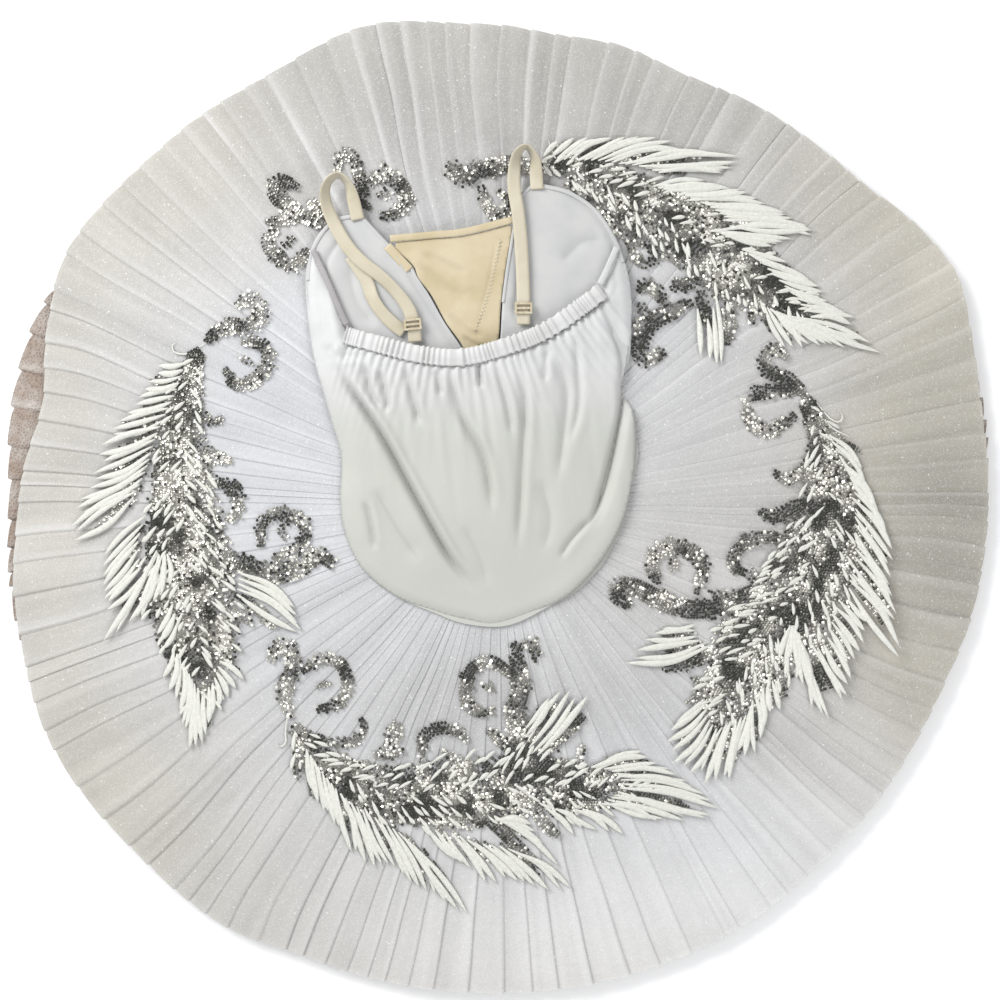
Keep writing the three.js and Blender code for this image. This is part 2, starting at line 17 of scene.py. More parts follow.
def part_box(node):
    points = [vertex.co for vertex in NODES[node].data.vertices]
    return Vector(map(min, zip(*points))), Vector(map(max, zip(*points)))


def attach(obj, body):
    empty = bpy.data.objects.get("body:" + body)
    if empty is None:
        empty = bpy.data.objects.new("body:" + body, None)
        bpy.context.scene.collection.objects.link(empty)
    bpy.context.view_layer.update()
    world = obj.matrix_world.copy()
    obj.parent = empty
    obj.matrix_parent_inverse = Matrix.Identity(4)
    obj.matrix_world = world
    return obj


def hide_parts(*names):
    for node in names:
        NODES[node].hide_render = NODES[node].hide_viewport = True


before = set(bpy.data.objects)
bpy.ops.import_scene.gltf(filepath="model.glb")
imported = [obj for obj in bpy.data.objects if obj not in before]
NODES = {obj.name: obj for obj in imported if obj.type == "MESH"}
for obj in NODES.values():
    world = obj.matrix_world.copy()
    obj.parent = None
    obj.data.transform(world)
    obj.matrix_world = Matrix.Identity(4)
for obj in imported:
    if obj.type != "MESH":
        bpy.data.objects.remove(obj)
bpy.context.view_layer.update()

MM = 0.001
TURN = 2 * math.pi
LOOKING_DOWN = Vector((0, 0, -1))


# ---- Numbers and curves ----------------------------------------------------------------------
def ease(f):
    """Smooth step of a number or array, 0 to 1."""
    f = np.clip(f, 0, 1)
    return f * f * (3 - 2 * f)


def soft_noise(u, v, seed):
    """Smooth noise from -1 to 1, with one lattice cell per unit."""
    size = 64
    lattice = np.random.RandomState(seed).uniform(-1, 1, (size, size))
    left, low = np.floor(u).astype(int), np.floor(v).astype(int)
    across, up = ease(u - left), ease(v - low)

    def corner(i, j):
        return lattice[(left + i) % size, (low + j) % size]

    below = corner(0, 0) * (1 - across) + corner(1, 0) * across
    above = corner(0, 1) * (1 - across) + corner(1, 1) * across
    return below * (1 - up) + above * up


def smooth_line(points, step):
    """Curve through the points, any number of columns, sampled about every step."""
    points = np.asarray(points, float)
    ends = np.vstack([2 * points[0] - points[1], points, 2 * points[-1] - points[-2]])
    made = []
    for before, a, b, after in zip(ends, ends[1:], ends[2:], ends[3:]):
        count = max(1, int(np.ceil(np.linalg.norm((b - a)[:2]) / step)))
        for f in np.arange(count) / count:
            made.append(0.5 * (2 * a + (b - before) * f + (2 * before - 5 * a + 4 * b - after) * f ** 2
                               + (3 * a - before - 3 * b + after) * f ** 3))
    made.append(ends[-2])
    return np.array(made)


def resampled(line, count):
    """The line as count points at equal spacing."""
    gone = np.concatenate([[0], np.cumsum(np.linalg.norm(np.diff(line[:, :2], axis=0), axis=1))])
    wanted = np.linspace(0, gone[-1], count)
    return np.stack([np.interp(wanted, gone, column) for column in line.T], axis=1)


def line_length(line):
    return float(np.linalg.norm(np.diff(line[:, :2], axis=0), axis=1).sum())


def sideways(line):
    """Unit vector to the left of the line at each of its points, in the plane."""
    along = np.gradient(line[:, :2], axis=0)
    along /= np.linalg.norm(along, axis=1)[:, None] + 1e-12
    return np.stack([-along[:, 1], along[:, 0]], axis=1)


def nearest_on(points, line):
    """Distance from each point to a line, the nearest place on it, how far along it, and the side."""
    best = np.full(len(points), np.inf)
    place = np.zeros_like(points)
    share = np.zeros(len(points))
    side = np.zeros(len(points))
    total = line_length(line)
    gone = 0.0
    for a, b in zip(line[:-1], line[1:]):
        edge = b - a
        length = np.hypot(*edge) + 1e-12
        f = np.clip((points - a) @ edge / length ** 2, 0, 1)
        foot = a + f[:, None] * edge
        away = points - foot
        distance = np.hypot(away[:, 0], away[:, 1])
        closer = distance < best
        best[closer] = distance[closer]
        place[closer] = foot[closer]
        share[closer] = (gone + f[closer] * length) / total
        side[closer] = np.sign(edge[0] * away[closer, 1] - edge[1] * away[closer, 0])
        gone += length
    return best, place, share, side


def inside(points, outline):
    """Whether each point is inside a closed outline."""
    x, y = points.T
    found = np.zeros(len(points), bool)
    for (x1, y1), (x2, y2) in zip(outline, np.roll(outline, -1, axis=0)):
        crosses = (y1 > y) != (y2 > y)
        found ^= crosses & (x < (x2 - x1) * (y - y1) / (y2 - y1 + 1e-15) + x1)
    return found


# ---- The CAD frame ---------------------------------------------------------------------------
def coordinates(node):
    mesh = NODES[node].data
    flat = np.empty(len(mesh.vertices) * 3, np.float32)
    mesh.vertices.foreach_get("co", flat)
    return flat.reshape(-1, 3).astype(float)


def middle_of(node):
    low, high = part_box(node)
    return (low + high) / 2


PLATE = np.array(middle_of("net_layer_1")[:2])


def placed(points):
    """Table places, millimetres from the plate's middle, as places in the frame."""
    points = np.array(points, float)
    points[..., :2] = points[..., :2] * MM + PLATE
    return points


class Ring:
    """Inner and outer edge of a CAD net, by angle round the plate, and its mean heights there."""

    def __init__(self, node):
        points = coordinates(node)
        from_middle = points[:, :2] - PLATE
        radius = np.hypot(*from_middle.T)
        degrees = np.round(np.degrees(np.arctan2(from_middle[:, 1], from_middle[:, 0])), 1)
        self.angles = np.unique(degrees)
        self.inner = np.array([radius[degrees == d].min() for d in self.angles])
        self.outer = np.array([radius[degrees == d].max() for d in self.angles])
        both = self.outer - self.inner > 10 * MM
        self.angles, self.inner, self.outer = self.angles[both], self.inner[both], self.outer[both]
        near = radius < np.interp(degrees, self.angles, (self.inner + self.outer) / 2)
        self.inner_z = points[near, 2].mean()
        self.outer_z = points[~near, 2].mean()

    def edge(self, radii, angle):
        """Radius at any angle in radians, with the CAD's corners rounded off."""
        turned = np.degrees(angle)
        spread = [np.interp(turned + d, self.angles, radii, period=360) for d in (-2.5, -1, 1, 2.5)]
        return sum(spread) / len(spread)

    def outness(self, points):
        """How far out each point is: 0 at the inner edge, 1 at the outer one."""
        from_middle = points[:, :2] - PLATE
        angle = np.arctan2(from_middle[:, 1], from_middle[:, 0])
        inner, outer = self.edge(self.inner, angle), self.edge(self.outer, angle)
        return np.clip((np.hypot(*from_middle.T) - inner) / (outer - inner), 0, 1)


class Relief:
    """Height of the top of some CAD nodes over the plane, carried on past their edges and smoothed."""

    def __init__(self, nodes, spacing=4 * MM, margin=26 * MM, smoothing=3):
        vertices, polygons = [], []
        for node in nodes:
            mesh = NODES[node].data
            start = len(vertices)
            vertices += [v.co.copy() for v in mesh.vertices]
            polygons += [[start + i for i in p.vertices] for p in mesh.polygons]
        tree = BVHTree.FromPolygons(vertices, polygons)
        flat = np.array([v[:] for v in vertices])
        self.low, self.spacing = flat.min(0)[:2] - margin, spacing
        counts = np.ceil((flat.max(0)[:2] + margin - self.low) / spacing).astype(int) + 1
        above = float(flat[:, 2].max()) + 0.1
        field = np.full(counts, np.nan)
        for i in range(counts[0]):
            for j in range(counts[1]):
                x, y = self.low + np.array([i, j]) * spacing
                hit = tree.ray_cast(Vector((x, y, above)), LOOKING_DOWN)[0]
                if hit:
                    field[i, j] = hit.z
        self.field = self.smoothed(self.filled(field), smoothing)

    @staticmethod
    def neighbours(field):
        wide = np.pad(field, 1, mode="edge")
        n, m = field.shape
        return np.stack([wide[i:i + n, j:j + m] for i in range(3) for j in range(3)])

    def filled(self, field):
        while np.isnan(field).any():
            around = self.neighbours(field)
            known = ~np.isnan(around)
            mean = np.where(known, around, 0).sum(0) / np.maximum(known.sum(0), 1)
            gap = np.isnan(field) & known.any(0)
            field[gap] = mean[gap]
        return field

    def smoothed(self, field, times):
        for _ in range(times):
            field = self.neighbours(field).mean(0)
        return field

    def at(self, points):
        place = (points[:, :2] - self.low) / self.spacing
        top = np.array(self.field.shape) - 1.001
        place = np.clip(place, 0, top)
        i, j = np.floor(place).astype(int).T
        f, g = (place - np.floor(place)).T
        near = self.field[i, j] * (1 - f) + self.field[i + 1, j] * f
        far = self.field[i, j + 1] * (1 - f) + self.field[i + 1, j + 1] * f
        return near * (1 - g) + far * g


# ---- Meshes ----------------------------------------------------------------------------------
def grid_faces(rows, columns, closed_rows=False, closed_columns=False):
    """Quads of a grid of points, whose columns run fastest."""
    i = np.arange(rows if closed_rows else rows - 1)[:, None]
    j = np.arange(columns if closed_columns else columns - 1)[None, :]
    here, after = i * columns, ((i + 1) % rows) * columns
    across = (j + 1) % columns
    return np.stack([here + j, after + j, after + across, here + across], axis=-1).reshape(-1, 4)


def tube_faces(rows, columns):
    """Faces of a closed tube of points: its wall and its two ends."""
    faces = grid_faces(rows, columns, closed_columns=True).tolist()
    last = (rows - 1) * columns
    return faces + [list(range(columns)), [last + k for k in reversed(range(columns))]]


def add_piece(name, vertices, faces, material, replaced=(), values=None, smooth=True):
    """A piece that rides on the part. values are numbers at its points that its material reads."""
    mesh = bpy.data.meshes.new(name)
    faces = faces.tolist() if hasattr(faces, "tolist") else faces
    mesh.from_pydata(np.asarray(vertices).tolist(), [], faces)
    for key, numbers in (values or {}).items():
        layer = mesh.attributes.new(key, "FLOAT", "POINT")
        layer.data.foreach_set("value", np.asarray(numbers, np.float32))
    mesh.polygons.foreach_set("use_smooth", [smooth] * len(mesh.polygons))
    mesh.materials.append(material)
    piece = bpy.data.objects.new(name, mesh)
    bpy.context.scene.collection.objects.link(piece)
    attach(piece, "root")
    if replaced:
        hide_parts(*[NODES[n].name for n in replaced])
    return piece


def cut_cloth(outline, step):
    """Points and faces of a fine grid cut to an outline, its edge drawn out onto the outline."""
    low, high = outline.min(0), outline.max(0)
    counts = np.ceil((high - low) / step).astype(int) + 1
    i, j = np.meshgrid(np.arange(counts[0]), np.arange(counts[1]), indexing="ij")
    points = low + np.stack([i, j], -1).reshape(-1, 2) * step
    closed = np.vstack([outline, outline[:1]])
    distance, foot, _, _ = nearest_on(points, closed)
    kept = inside(points, outline) & (distance > 0.55 * step)
    cells = grid_faces(*counts)
    cells = cells[kept[cells].all(axis=1)]
    edges = {(a, b) for cell in cells.tolist() for a, b in zip(cell, cell[1:] + cell[:1])}
    rim = [(a, b) for a, b in edges if (b, a) not in edges]
    outer = {a: len(points) + k for k, a in enumerate(sorted({v for edge in rim for v in edge}))}
    faces = cells.tolist() + [[b, a, outer[a], outer[b]] for a, b in sorted(rim)]
    points = np.vstack([points, foot[list(outer)]])
    used = np.unique([v for face in faces for v in face])
    index = np.full(len(points), -1)
    index[used] = np.arange(len(used))
    return points[used], [[int(index[v]) for v in face] for face in faces]


def facing_up(piece):
    """Welds doubled points, turns every face of a single sheet upwards."""
    work = bmesh.new()
    work.from_mesh(piece.data)
    bmesh.ops.remove_doubles(work, verts=work.verts, dist=0.05 * MM)
    bmesh.ops.dissolve_degenerate(work, edges=work.edges, dist=0.02 * MM)
    for face in work.faces:
        face.normal_update()
        if face.normal.z < 0:
            face.normal_flip()
    work.to_mesh(piece.data)
    work.free()
    piece.data.polygons.foreach_set("use_smooth", [True] * len(piece.data.polygons))


# ---- Materials -------------------------------------------------------------------------------
PAPER = 1.36    # how bright a white floor comes out under this scene's light


def seen(red, green, blue):
    """Surface colour that comes out as this display colour under the scene's light."""
    def linear(c):
        c /= 255
        return c / 12.92 if c <= 0.04045 else ((c + 0.055) / 1.055) ** 2.4
    return tuple(min(linear(c) / PAPER, 1) for c in (red, green, blue)) + (1,)


class Look:
    """A material in the making: its Principled shader and the nodes that feed it."""

    def __init__(self, name, roughness, **constants):
        self.material = bpy.data.materials.new(name)
        self.material.use_nodes = True
        self.tree = self.material.node_tree
        self.shader = self.tree.nodes["Principled BSDF"]
        self.shader.inputs["Roughness"].default_value = roughness
        for key, value in constants.items():
            self.shader.inputs[key.replace("_", " ")].default_value = value

    def feed(self, socket, value):
        if isinstance(value, bpy.types.NodeSocket):
            self.tree.links.new(value, socket)
        else:
            socket.default_value = value

    def node(self, kind, **settings):
        made = self.tree.nodes.new(kind)
        for key, value in settings.items():
            setattr(made, key, value)
        return made

    def value(self, name):
        return self.node("ShaderNodeAttribute", attribute_name=name).outputs["Fac"]

    def place(self):
        return self.node("ShaderNodeTexCoord").outputs["Object"]

    def stretched(self, x, y, z):
        made = self.node("ShaderNodeMapping")
        self.feed(made.inputs["Vector"], self.place())
        made.inputs["Scale"].default_value = (x, y, z)
        return made.outputs["Vector"]

    def noise(self, size, detail=2.0, place=None):
        made = self.node("ShaderNodeTexNoise")
        self.feed(made.inputs["Vector"], place or self.place())
        made.inputs["Scale"].default_value = 1 / size
        made.inputs["Detail"].default_value = detail
        return made.outputs["Fac"]

    def cells(self, size, output="Distance", feature="F1"):
        made = self.node("ShaderNodeTexVoronoi", feature=feature)
        self.feed(made.inputs["Vector"], self.place())
        made.inputs["Scale"].default_value = 1 / size
        return made.outputs[output]

    def ribs(self, name, size):
        """Even ribs along a measure that the mesh carries, 0 to 1."""
        turned = self.math("MULTIPLY", self.value(name), TURN / size)
        return self.math("MULTIPLY_ADD", self.math("SINE", turned), 0.5, 0.5)

    def math(self, operation, a, b=0.0, c=0.0):
        made = self.node("ShaderNodeMath", operation=operation)
        for socket, value in zip(made.inputs, (a, b, c)):
            self.feed(socket, value)
        return made.outputs[0]

    def ramp(self, value, low, high, bottom=0.0, top=1.0):
        made = self.node("ShaderNodeMapRange")
        for socket, given in zip(made.inputs, (value, low, high, bottom, top)):
            self.feed(socket, given)
        return made.outputs[0]

    def mix(self, factor, a, b, blend="MIX"):
        made = self.node("ShaderNodeMix", data_type="RGBA", blend_type=blend)
        self.feed(made.inputs[0], factor)
        self.feed(made.inputs[6], a)
        self.feed(made.inputs[7], b)
        return made.outputs[2]

    def dimmed(self, colour, value):
        """Colour times a grey value."""
        grey = self.node("ShaderNodeCombineColor")
        for socket in list(grey.inputs)[:3]:
            self.feed(socket, value)
        return self.mix(1.0, colour, grey.outputs[0], "MULTIPLY")

    def relief(self, *layers):
        """Bump from (height, depth in metres) pairs."""
        for height, depth in layers:
            made = self.node("ShaderNodeBump")
            made.inputs["Strength"].default_value = 1.0
            made.inputs["Distance"].default_value = depth
            self.feed(made.inputs["Height"], height)
            before = self.shader.inputs["Normal"]
            if before.is_linked:
                self.feed(made.inputs["Normal"], before.links[0].from_socket)
            self.feed(before, made.outputs[0])

    def done(self, colour):
        self.feed(self.shader.inputs["Base Color"], colour)
        return self.material


# Fold lines of the pleated nets: a lighter line where folded layers overlap, partly painted highlight, and a
# painted shade line in each crease.
OVERLAP_HIGHLIGHT_LINE = seen(244, 244, 243)
CREASE_SHADE_LINE = seen(132, 131, 133)


# Glitter specks, painted as white glints into the net's colour: their spacing, the share of them that glint,
# and how bright they get.
GLITTER_GLINTS = [
    {"size": 1.2 * MM, "share": 0.352, "strength": 0.40},
    {"size": 1.9 * MM, "share": 0.096, "strength": 0.75},
]


def pleated_net_look(name, cool, warm):
    """Net that carries fold, warmth and shade at its points, with mesh grain and glitter specks. Its fold
    lines are painted light and shade: lighter where folded layers overlap, with painted highlight, and
    painted shade in the creases; its glitter specks are painted glints.
    """
    look = Look(name, 0.82, Sheen_Weight=0.15, Sheen_Roughness=0.6)
    grain = look.noise(1.6 * MM, 3.0)
    cloud = look.noise(45 * MM, 3.0)
    colour = look.mix(look.value("warmth"), cool, warm)
    colour = look.dimmed(colour, look.value("shade"))
    colour = look.dimmed(colour, look.ramp(cloud, 0.3, 0.7, 0.965, 1.035))
    colour = look.dimmed(colour, look.ramp(grain, 0.25, 0.75, 0.93, 1.06))
    # Painted fold lines: a light line of overlapped layers and painted highlight, and a painted shade line
    # in each crease.
    colour = look.mix(look.ramp(look.value("fold"), 0.0, 1.0), colour, OVERLAP_HIGHLIGHT_LINE)
    colour = look.mix(look.ramp(look.value("fold"), 0.0, -1.0), colour, CREASE_SHADE_LINE)
    # Painted glints: white specks mixed into the colour where the glitter would catch the light.
    for kind in GLITTER_GLINTS:
        start, end = 1 - kind["share"], 1 - 0.8 * kind["share"]
        painted_glint = look.ramp(look.cells(kind["size"], "Color"), start, end, 0, kind["strength"])
        near = look.ramp(look.cells(kind["size"]), 0.45, 0.32)
        colour = look.mix(look.math("MULTIPLY", painted_glint, near), colour, seen(255, 255, 252))
    look.relief((grain, 0.35 * MM), (look.noise(7 * MM), 0.5 * MM))
    return look.done(colour)


def coarse_net_look():
    look = Look("taupe_net", 0.85, Sheen_Weight=0.1)
    holes = look.ramp(look.cells(3.2 * MM, "Distance", "DISTANCE_TO_EDGE"), 0.05, 0.28)
    colour = look.mix(look.ramp(look.noise(16 * MM), 0.35, 0.65), seen(172, 155, 142), seen(196, 186, 177))
    colour = look.mix(look.math("MULTIPLY", holes, 0.5), colour, seen(128, 108, 96))
    # Lighter fold lines where layers overlap, partly painted highlight.
    colour = look.mix(look.ramp(look.value("fold"), 0.1, 1.0), colour, seen(226, 222, 216))
    look.relief((holes, -0.4 * MM))
    return look.done(colour)


def plain_net_look():
    look = Look("white_net", 0.85, Sheen_Weight=0.1)
    holes = look.ramp(look.cells(2.4 * MM, "Distance", "DISTANCE_TO_EDGE"), 0.05, 0.3)
    colour = look.mix(look.ramp(look.noise(20 * MM), 0.3, 0.7), seen(208, 208, 208), seen(226, 226, 226))
    colour = look.mix(look.math("MULTIPLY", holes, 0.35), colour, seen(176, 176, 180))
    look.relief((holes, -0.3 * MM))
    return look.done(colour)


def stretch_look(name, light, dark, depth=0.06, lower_shade=None):
    """Smooth knitted stretch satin: a fine cross grain, faint clouding, and soft sheen, with painted shade
    along its crease lines and, where a lower colour is given, a darker, warmer painted shade towards its
    lower part.
    """
    look = Look(name, 0.56, Sheen_Weight=0.25, Sheen_Roughness=0.45)
    knit = look.noise(0.9 * MM, 2.0, look.stretched(1.0, 0.35, 1.0))
    cloud = look.noise(30 * MM, 2.0)
    colour = look.mix(look.ramp(cloud, 0.35, 0.65), dark, light)
    # Painted shade: the given lower colour, darker and warmer, towards the lower part.
    if lower_shade:
        colour = look.mix(look.value("low"), colour, lower_shade)
    colour = look.dimmed(colour, look.ramp(knit, 0.2, 0.8, 0.97, 1.02))
    # Painted shade: darker along the crease lines.
    colour = look.dimmed(colour, look.ramp(look.value("crease_shade"), 0.0, 1.0, 1.0, 0.60))
    look.relief((knit, depth * MM), (cloud, 0.5 * MM))
    return look.done(colour)


def elastic_look():
    """Satin strap elastic, ribbed along its length."""
    look = Look("strap_elastic", 0.34, Sheen_Weight=0.2, Coat_Weight=0.12, Coat_Roughness=0.35)
    rib = look.ribs("across", 0.16)
    colour = look.mix(rib, seen(198, 186, 158), seen(224, 215, 192))
    colour = look.mix(look.ramp(look.noise(24 * MM), 0.3, 0.9), colour, seen(226, 219, 197))
    look.relief((rib, 0.12 * MM), (look.noise(1.0 * MM), 0.1 * MM))
    return look.done(colour)


def slider_look():
    look = Look("slider_coated", 0.28, Metallic=0.15, Coat_Weight=0.4, Coat_Roughness=0.15)
    worn = look.ramp(look.noise(2.5 * MM, 3.0), 0.45, 0.62)
    look.relief((look.noise(0.7 * MM), 0.05 * MM))
    return look.done(look.mix(worn, seen(214, 199, 165), seen(233, 224, 201)))


def sequin_look():
    """Small cupped metal-coated discs; each one carries its own grey, a painted reflection from dark to a
    white painted glint.
    """
    look = Look("sequins", 0.24, Metallic=0.85)
    grey = look.value("grey")
    # Dark to white: painted reflections, the white end a painted glint.
    colour = look.mix(grey, (0.05, 0.05, 0.044, 1), (1.0, 0.97, 0.87, 1))
    colour = look.dimmed(colour, look.ramp(look.noise(1.1 * MM), 0.3, 0.7, 0.85, 1.1))
    look.relief((look.noise(0.8 * MM), 0.1 * MM))
    return look.done(colour)


def feather_look():
    """Ivory satin stitch: fine threads laid across each feather."""
    look = Look("satin_stitch", 0.42, Sheen_Weight=0.3, Sheen_Roughness=0.3)
    threads = look.ribs("thread", 1.1 * MM)
    uneven = look.noise(3.0 * MM, 3.0)
    colour = look.mix(threads, (0.60, 0.60, 0.54, 1), (0.86, 0.86, 0.80, 1))
    colour = look.dimmed(colour, look.ramp(uneven, 0.3, 0.7, 0.92, 1.06))
    look.relief((threads, 0.25 * MM), (uneven, 0.3 * MM))
    return look.done(colour)


GLITTER_NET = pleated_net_look("glitter_net", seen(207, 208, 211), seen(198, 193, 181))
TAUPE_NET = coarse_net_look()
WHITE_NET = plain_net_look()
# The satin's lower colour is painted shade, darker and warmer towards the back point.
SATIN = stretch_look("stretch_satin", seen(226, 226, 226), seen(216, 216, 216),
                     lower_shade=seen(206, 207, 199))
SHADED_SATIN = stretch_look("satin_in_shadow", seen(178, 174, 174), seen(162, 158, 160))
CASING_SATIN = stretch_look("casing_satin", seen(228, 228, 227), seen(218, 218, 216), 0.1)
LINING = stretch_look("stretch_lining", seen(212, 212, 210), seen(202, 203, 202))
NUDE = stretch_look("nude_mesh", seen(222, 208, 176), seen(208, 192, 155), 0.12)
ELASTIC = elastic_look()
SLIDER = slider_look()
SEQUIN = sequin_look()
STITCH = feather_look()


# ---- Camera, light and floor -----------------------------------------------------------------
CAMERA_HEIGHT = 2.2
FRAME_WIDTH = 1.0
SENSOR = 36.0
VIEW_CENTRE = placed((1, 6))
LAMPS = [
    {"name": "key", "place": (-1.8, 1.6, 1.7), "power": 92, "size": 1.6},
    {"name": "fill", "place": (1.7, -1.5, 2.2), "power": 42, "size": 2.0},
]
WORLD = {"colour": (0.97, 0.98, 1.0, 1), "strength": 0.62}
FLOOR = {"half": 4.0, "drop": 0.5 * MM, "mottle": 0.4}


def set_camera():
    data = bpy.data.cameras.new("camera")
    data.sensor_width = SENSOR
    data.lens = SENSOR * CAMERA_HEIGHT / FRAME_WIDTH
    camera = bpy.data.objects.new("camera", data)
    camera.location = (*VIEW_CENTRE, CAMERA_HEIGHT)
    bpy.context.scene.collection.objects.link(camera)
    bpy.context.scene.camera = camera
    bpy.context.scene.view_settings.view_transform = "Standard"


def set_lights():
    for lamp in LAMPS:
        data = bpy.data.lights.new(lamp["name"], "AREA")
        data.energy, data.size = lamp["power"], lamp["size"]
        made = bpy.data.objects.new(lamp["name"], data)
        made.location = lamp["place"]
        aim = Vector((*PLATE, 0)) - Vector(lamp["place"])
        made.rotation_euler = aim.to_track_quat("-Z", "Y").to_euler()
        bpy.context.scene.collection.objects.link(made)
    world = bpy.data.worlds.new("studio")
    world.use_nodes = True
    background = world.node_tree.nodes["Background"]
    background.inputs["Color"].default_value = WORLD["colour"]
    background.inputs["Strength"].default_value = WORLD["strength"]
    bpy.context.scene.world = world


def lay_floor():
    look = Look("floor", 0.9)
    paper = look.mix(look.noise(FLOOR["mottle"]), (0.94, 0.94, 0.94, 1), (0.97, 0.97, 0.97, 1))
    half = FLOOR["half"]
    mesh = bpy.data.meshes.new("floor")
    corners = [(-half, -half, 0), (half, -half, 0), (half, half, 0), (-half, half, 0)]
    mesh.from_pydata(corners, [], [(0, 1, 2, 3)])
    mesh.materials.append(look.done(paper))
    floor = bpy.data.objects.new("floor", mesh)
    floor.location.z = -FLOOR["drop"]
    bpy.context.scene.collection.objects.link(floor)


# ---- Skirt -----------------------------------------------------------------------------------
PLEATS = 112
# One pleat: how far through it each column is, its height, and what the fold line does there: above 0 a
# light line of overlapped layers and painted highlight, below 0 a painted crease shade.
PLEAT = [
    {"at": 0.00, "height": 0.00, "fold": -0.9}, {"at": 0.05, "height": 0.16, "fold": -0.2},
    {"at": 0.14, "height": 0.38, "fold": 0.05}, {"at": 0.30, "height": 0.58, "fold": 0.0},
    {"at": 0.48, "height": 0.72, "fold": 0.0}, {"at": 0.64, "height": 0.84, "fold": 0.1},
    {"at": 0.76, "height": 0.92, "fold": 0.55}, {"at": 0.88, "height": 1.00, "fold": 0.9},
    {"at": 0.945, "height": 0.97, "fold": 0.5}, {"at": 0.985, "height": 0.12, "fold": -0.8},
]
# Soft patches of tone on the plate: middle, reach, and what they add to warmth and shade.
PATCHES = [
    {"x": 450, "y": -20, "w": 90, "h": 190, "warmth": 0.9, "shade": -0.24},
    {"x": 330, "y": 20, "w": 120, "h": 200, "warmth": 0.35, "shade": -0.04},
    {"x": 300, "y": -350, "w": 170, "h": 120, "warmth": -0.35, "shade": 0.24},
    {"x": 40, "y": -440, "w": 220, "h": 85, "warmth": -0.2, "shade": 0.26},
    {"x": 440, "y": 215, "w": 40, "h": 60, "warmth": 0.1, "shade": 0.12},
    {"x": 380, "y": 300, "w": 90, "h": 90, "warmth": 0.3, "shade": 0.02},
    {"x": -430, "y": -20, "w": 60, "h": 220, "warmth": 0.2, "shade": 0.0},
    {"x": -330, "y": 300, "w": 130, "h": 110, "warmth": 0.2, "shade": 0.03},
    {"x": -190, "y": 90, "w": 90, "h": 120, "warmth": -0.3, "shade": 0.01},
    {"x": -380, "y": -290, "w": 120, "h": 100, "warmth": 0.25, "shade": 0.02},
    {"x": 160, "y": -60, "w": 90, "h": 110, "warmth": 0.2, "shade": -0.03},
    {"x": 0, "y": 390, "w": 250, "h": 120, "warmth": 0.1, "shade": -0.20},
    {"x": 0, "y": -200, "w": 150, "h": 60, "warmth": 0.1, "shade": -0.17},
    {"x": 270, "y": -235, "w": 60, "h": 45, "warmth": 0.1, "shade": -0.14},
]
SKIRT = Ring("skirt_top")
NET_WALL = 1.2 * MM
# Spread of the pleats' widths, heights and fold lines, as shares of the usual one.
PLEAT_WIDTHS = (0.5, 1.5)
PLEAT_HEIGHTS = (0.35, 1.1)
FOLD_STRENGTHS = (0.12, 0.95)
# How each pleated net lies: its rows of points, its pleats' heights at the hip and the hem, how
# many degrees they wander, and how uneven the hem is, as a share of the radius.
TOP_NET = {"rows": 46, "hip": 0.45 * MM, "hem": 1.15 * MM, "seed": 7, "wander": 0.85, "scallop": 0.004}
LONG_NET = {"rows": 14, "hip": 0.9 * MM, "hem": 1.7 * MM, "seed": 19, "wander": 0.8, "scallop": 0.012}
# Where round the plate, in degrees, the painted fold lines are strong: the light ones, of overlapped layers
# and painted highlight, and the dark ones, of painted crease shade.
OVERLAP_HIGHLIGHT_FOLDS = {
    "base": 0.30,
    "peaks": [{"at": 140, "reach": 60, "add": 0.55}, {"at": 300, "reach": 40, "add": 0.2}],
}
CREASE_SHADE_FOLDS = {
    "base": 0.22,
    "peaks": [{"at": 265, "reach": 60, "add": 0.5}, {"at": 350, "reach": 30, "add": 0.3}],
}
# Tone of single pleats and of the streaks in them: how fine they are round the plate and from
# hip to hem, and how much shade they add.
STREAKS = [
    {"around": PLEATS / TURN, "out": 0.4, "seed": 41, "add": 0.045},
    {"around": 14, "out": 5, "seed": 42, "add": 0.03},
    {"around": 70, "out": 2.2, "seed": 43, "add": 0.05},
    {"around": 190, "out": 1.5, "seed": 44, "add": 0.055},
]
HEM_GLOW = 0.10


def plate_top(points):
    """Mean height of the skirt's top over the plane."""
    out = SKIRT.outness(points)
    hip, hem = SKIRT.inner_z + NET_WALL / 2, SKIRT.outer_z + NET_WALL / 2
    return hip + (hem - hip) * out


def pleat_rise(out):
    """Height of the top net's pleats."""
    return TOP_NET["hip"] + (TOP_NET["hem"] - TOP_NET["hip"]) * out


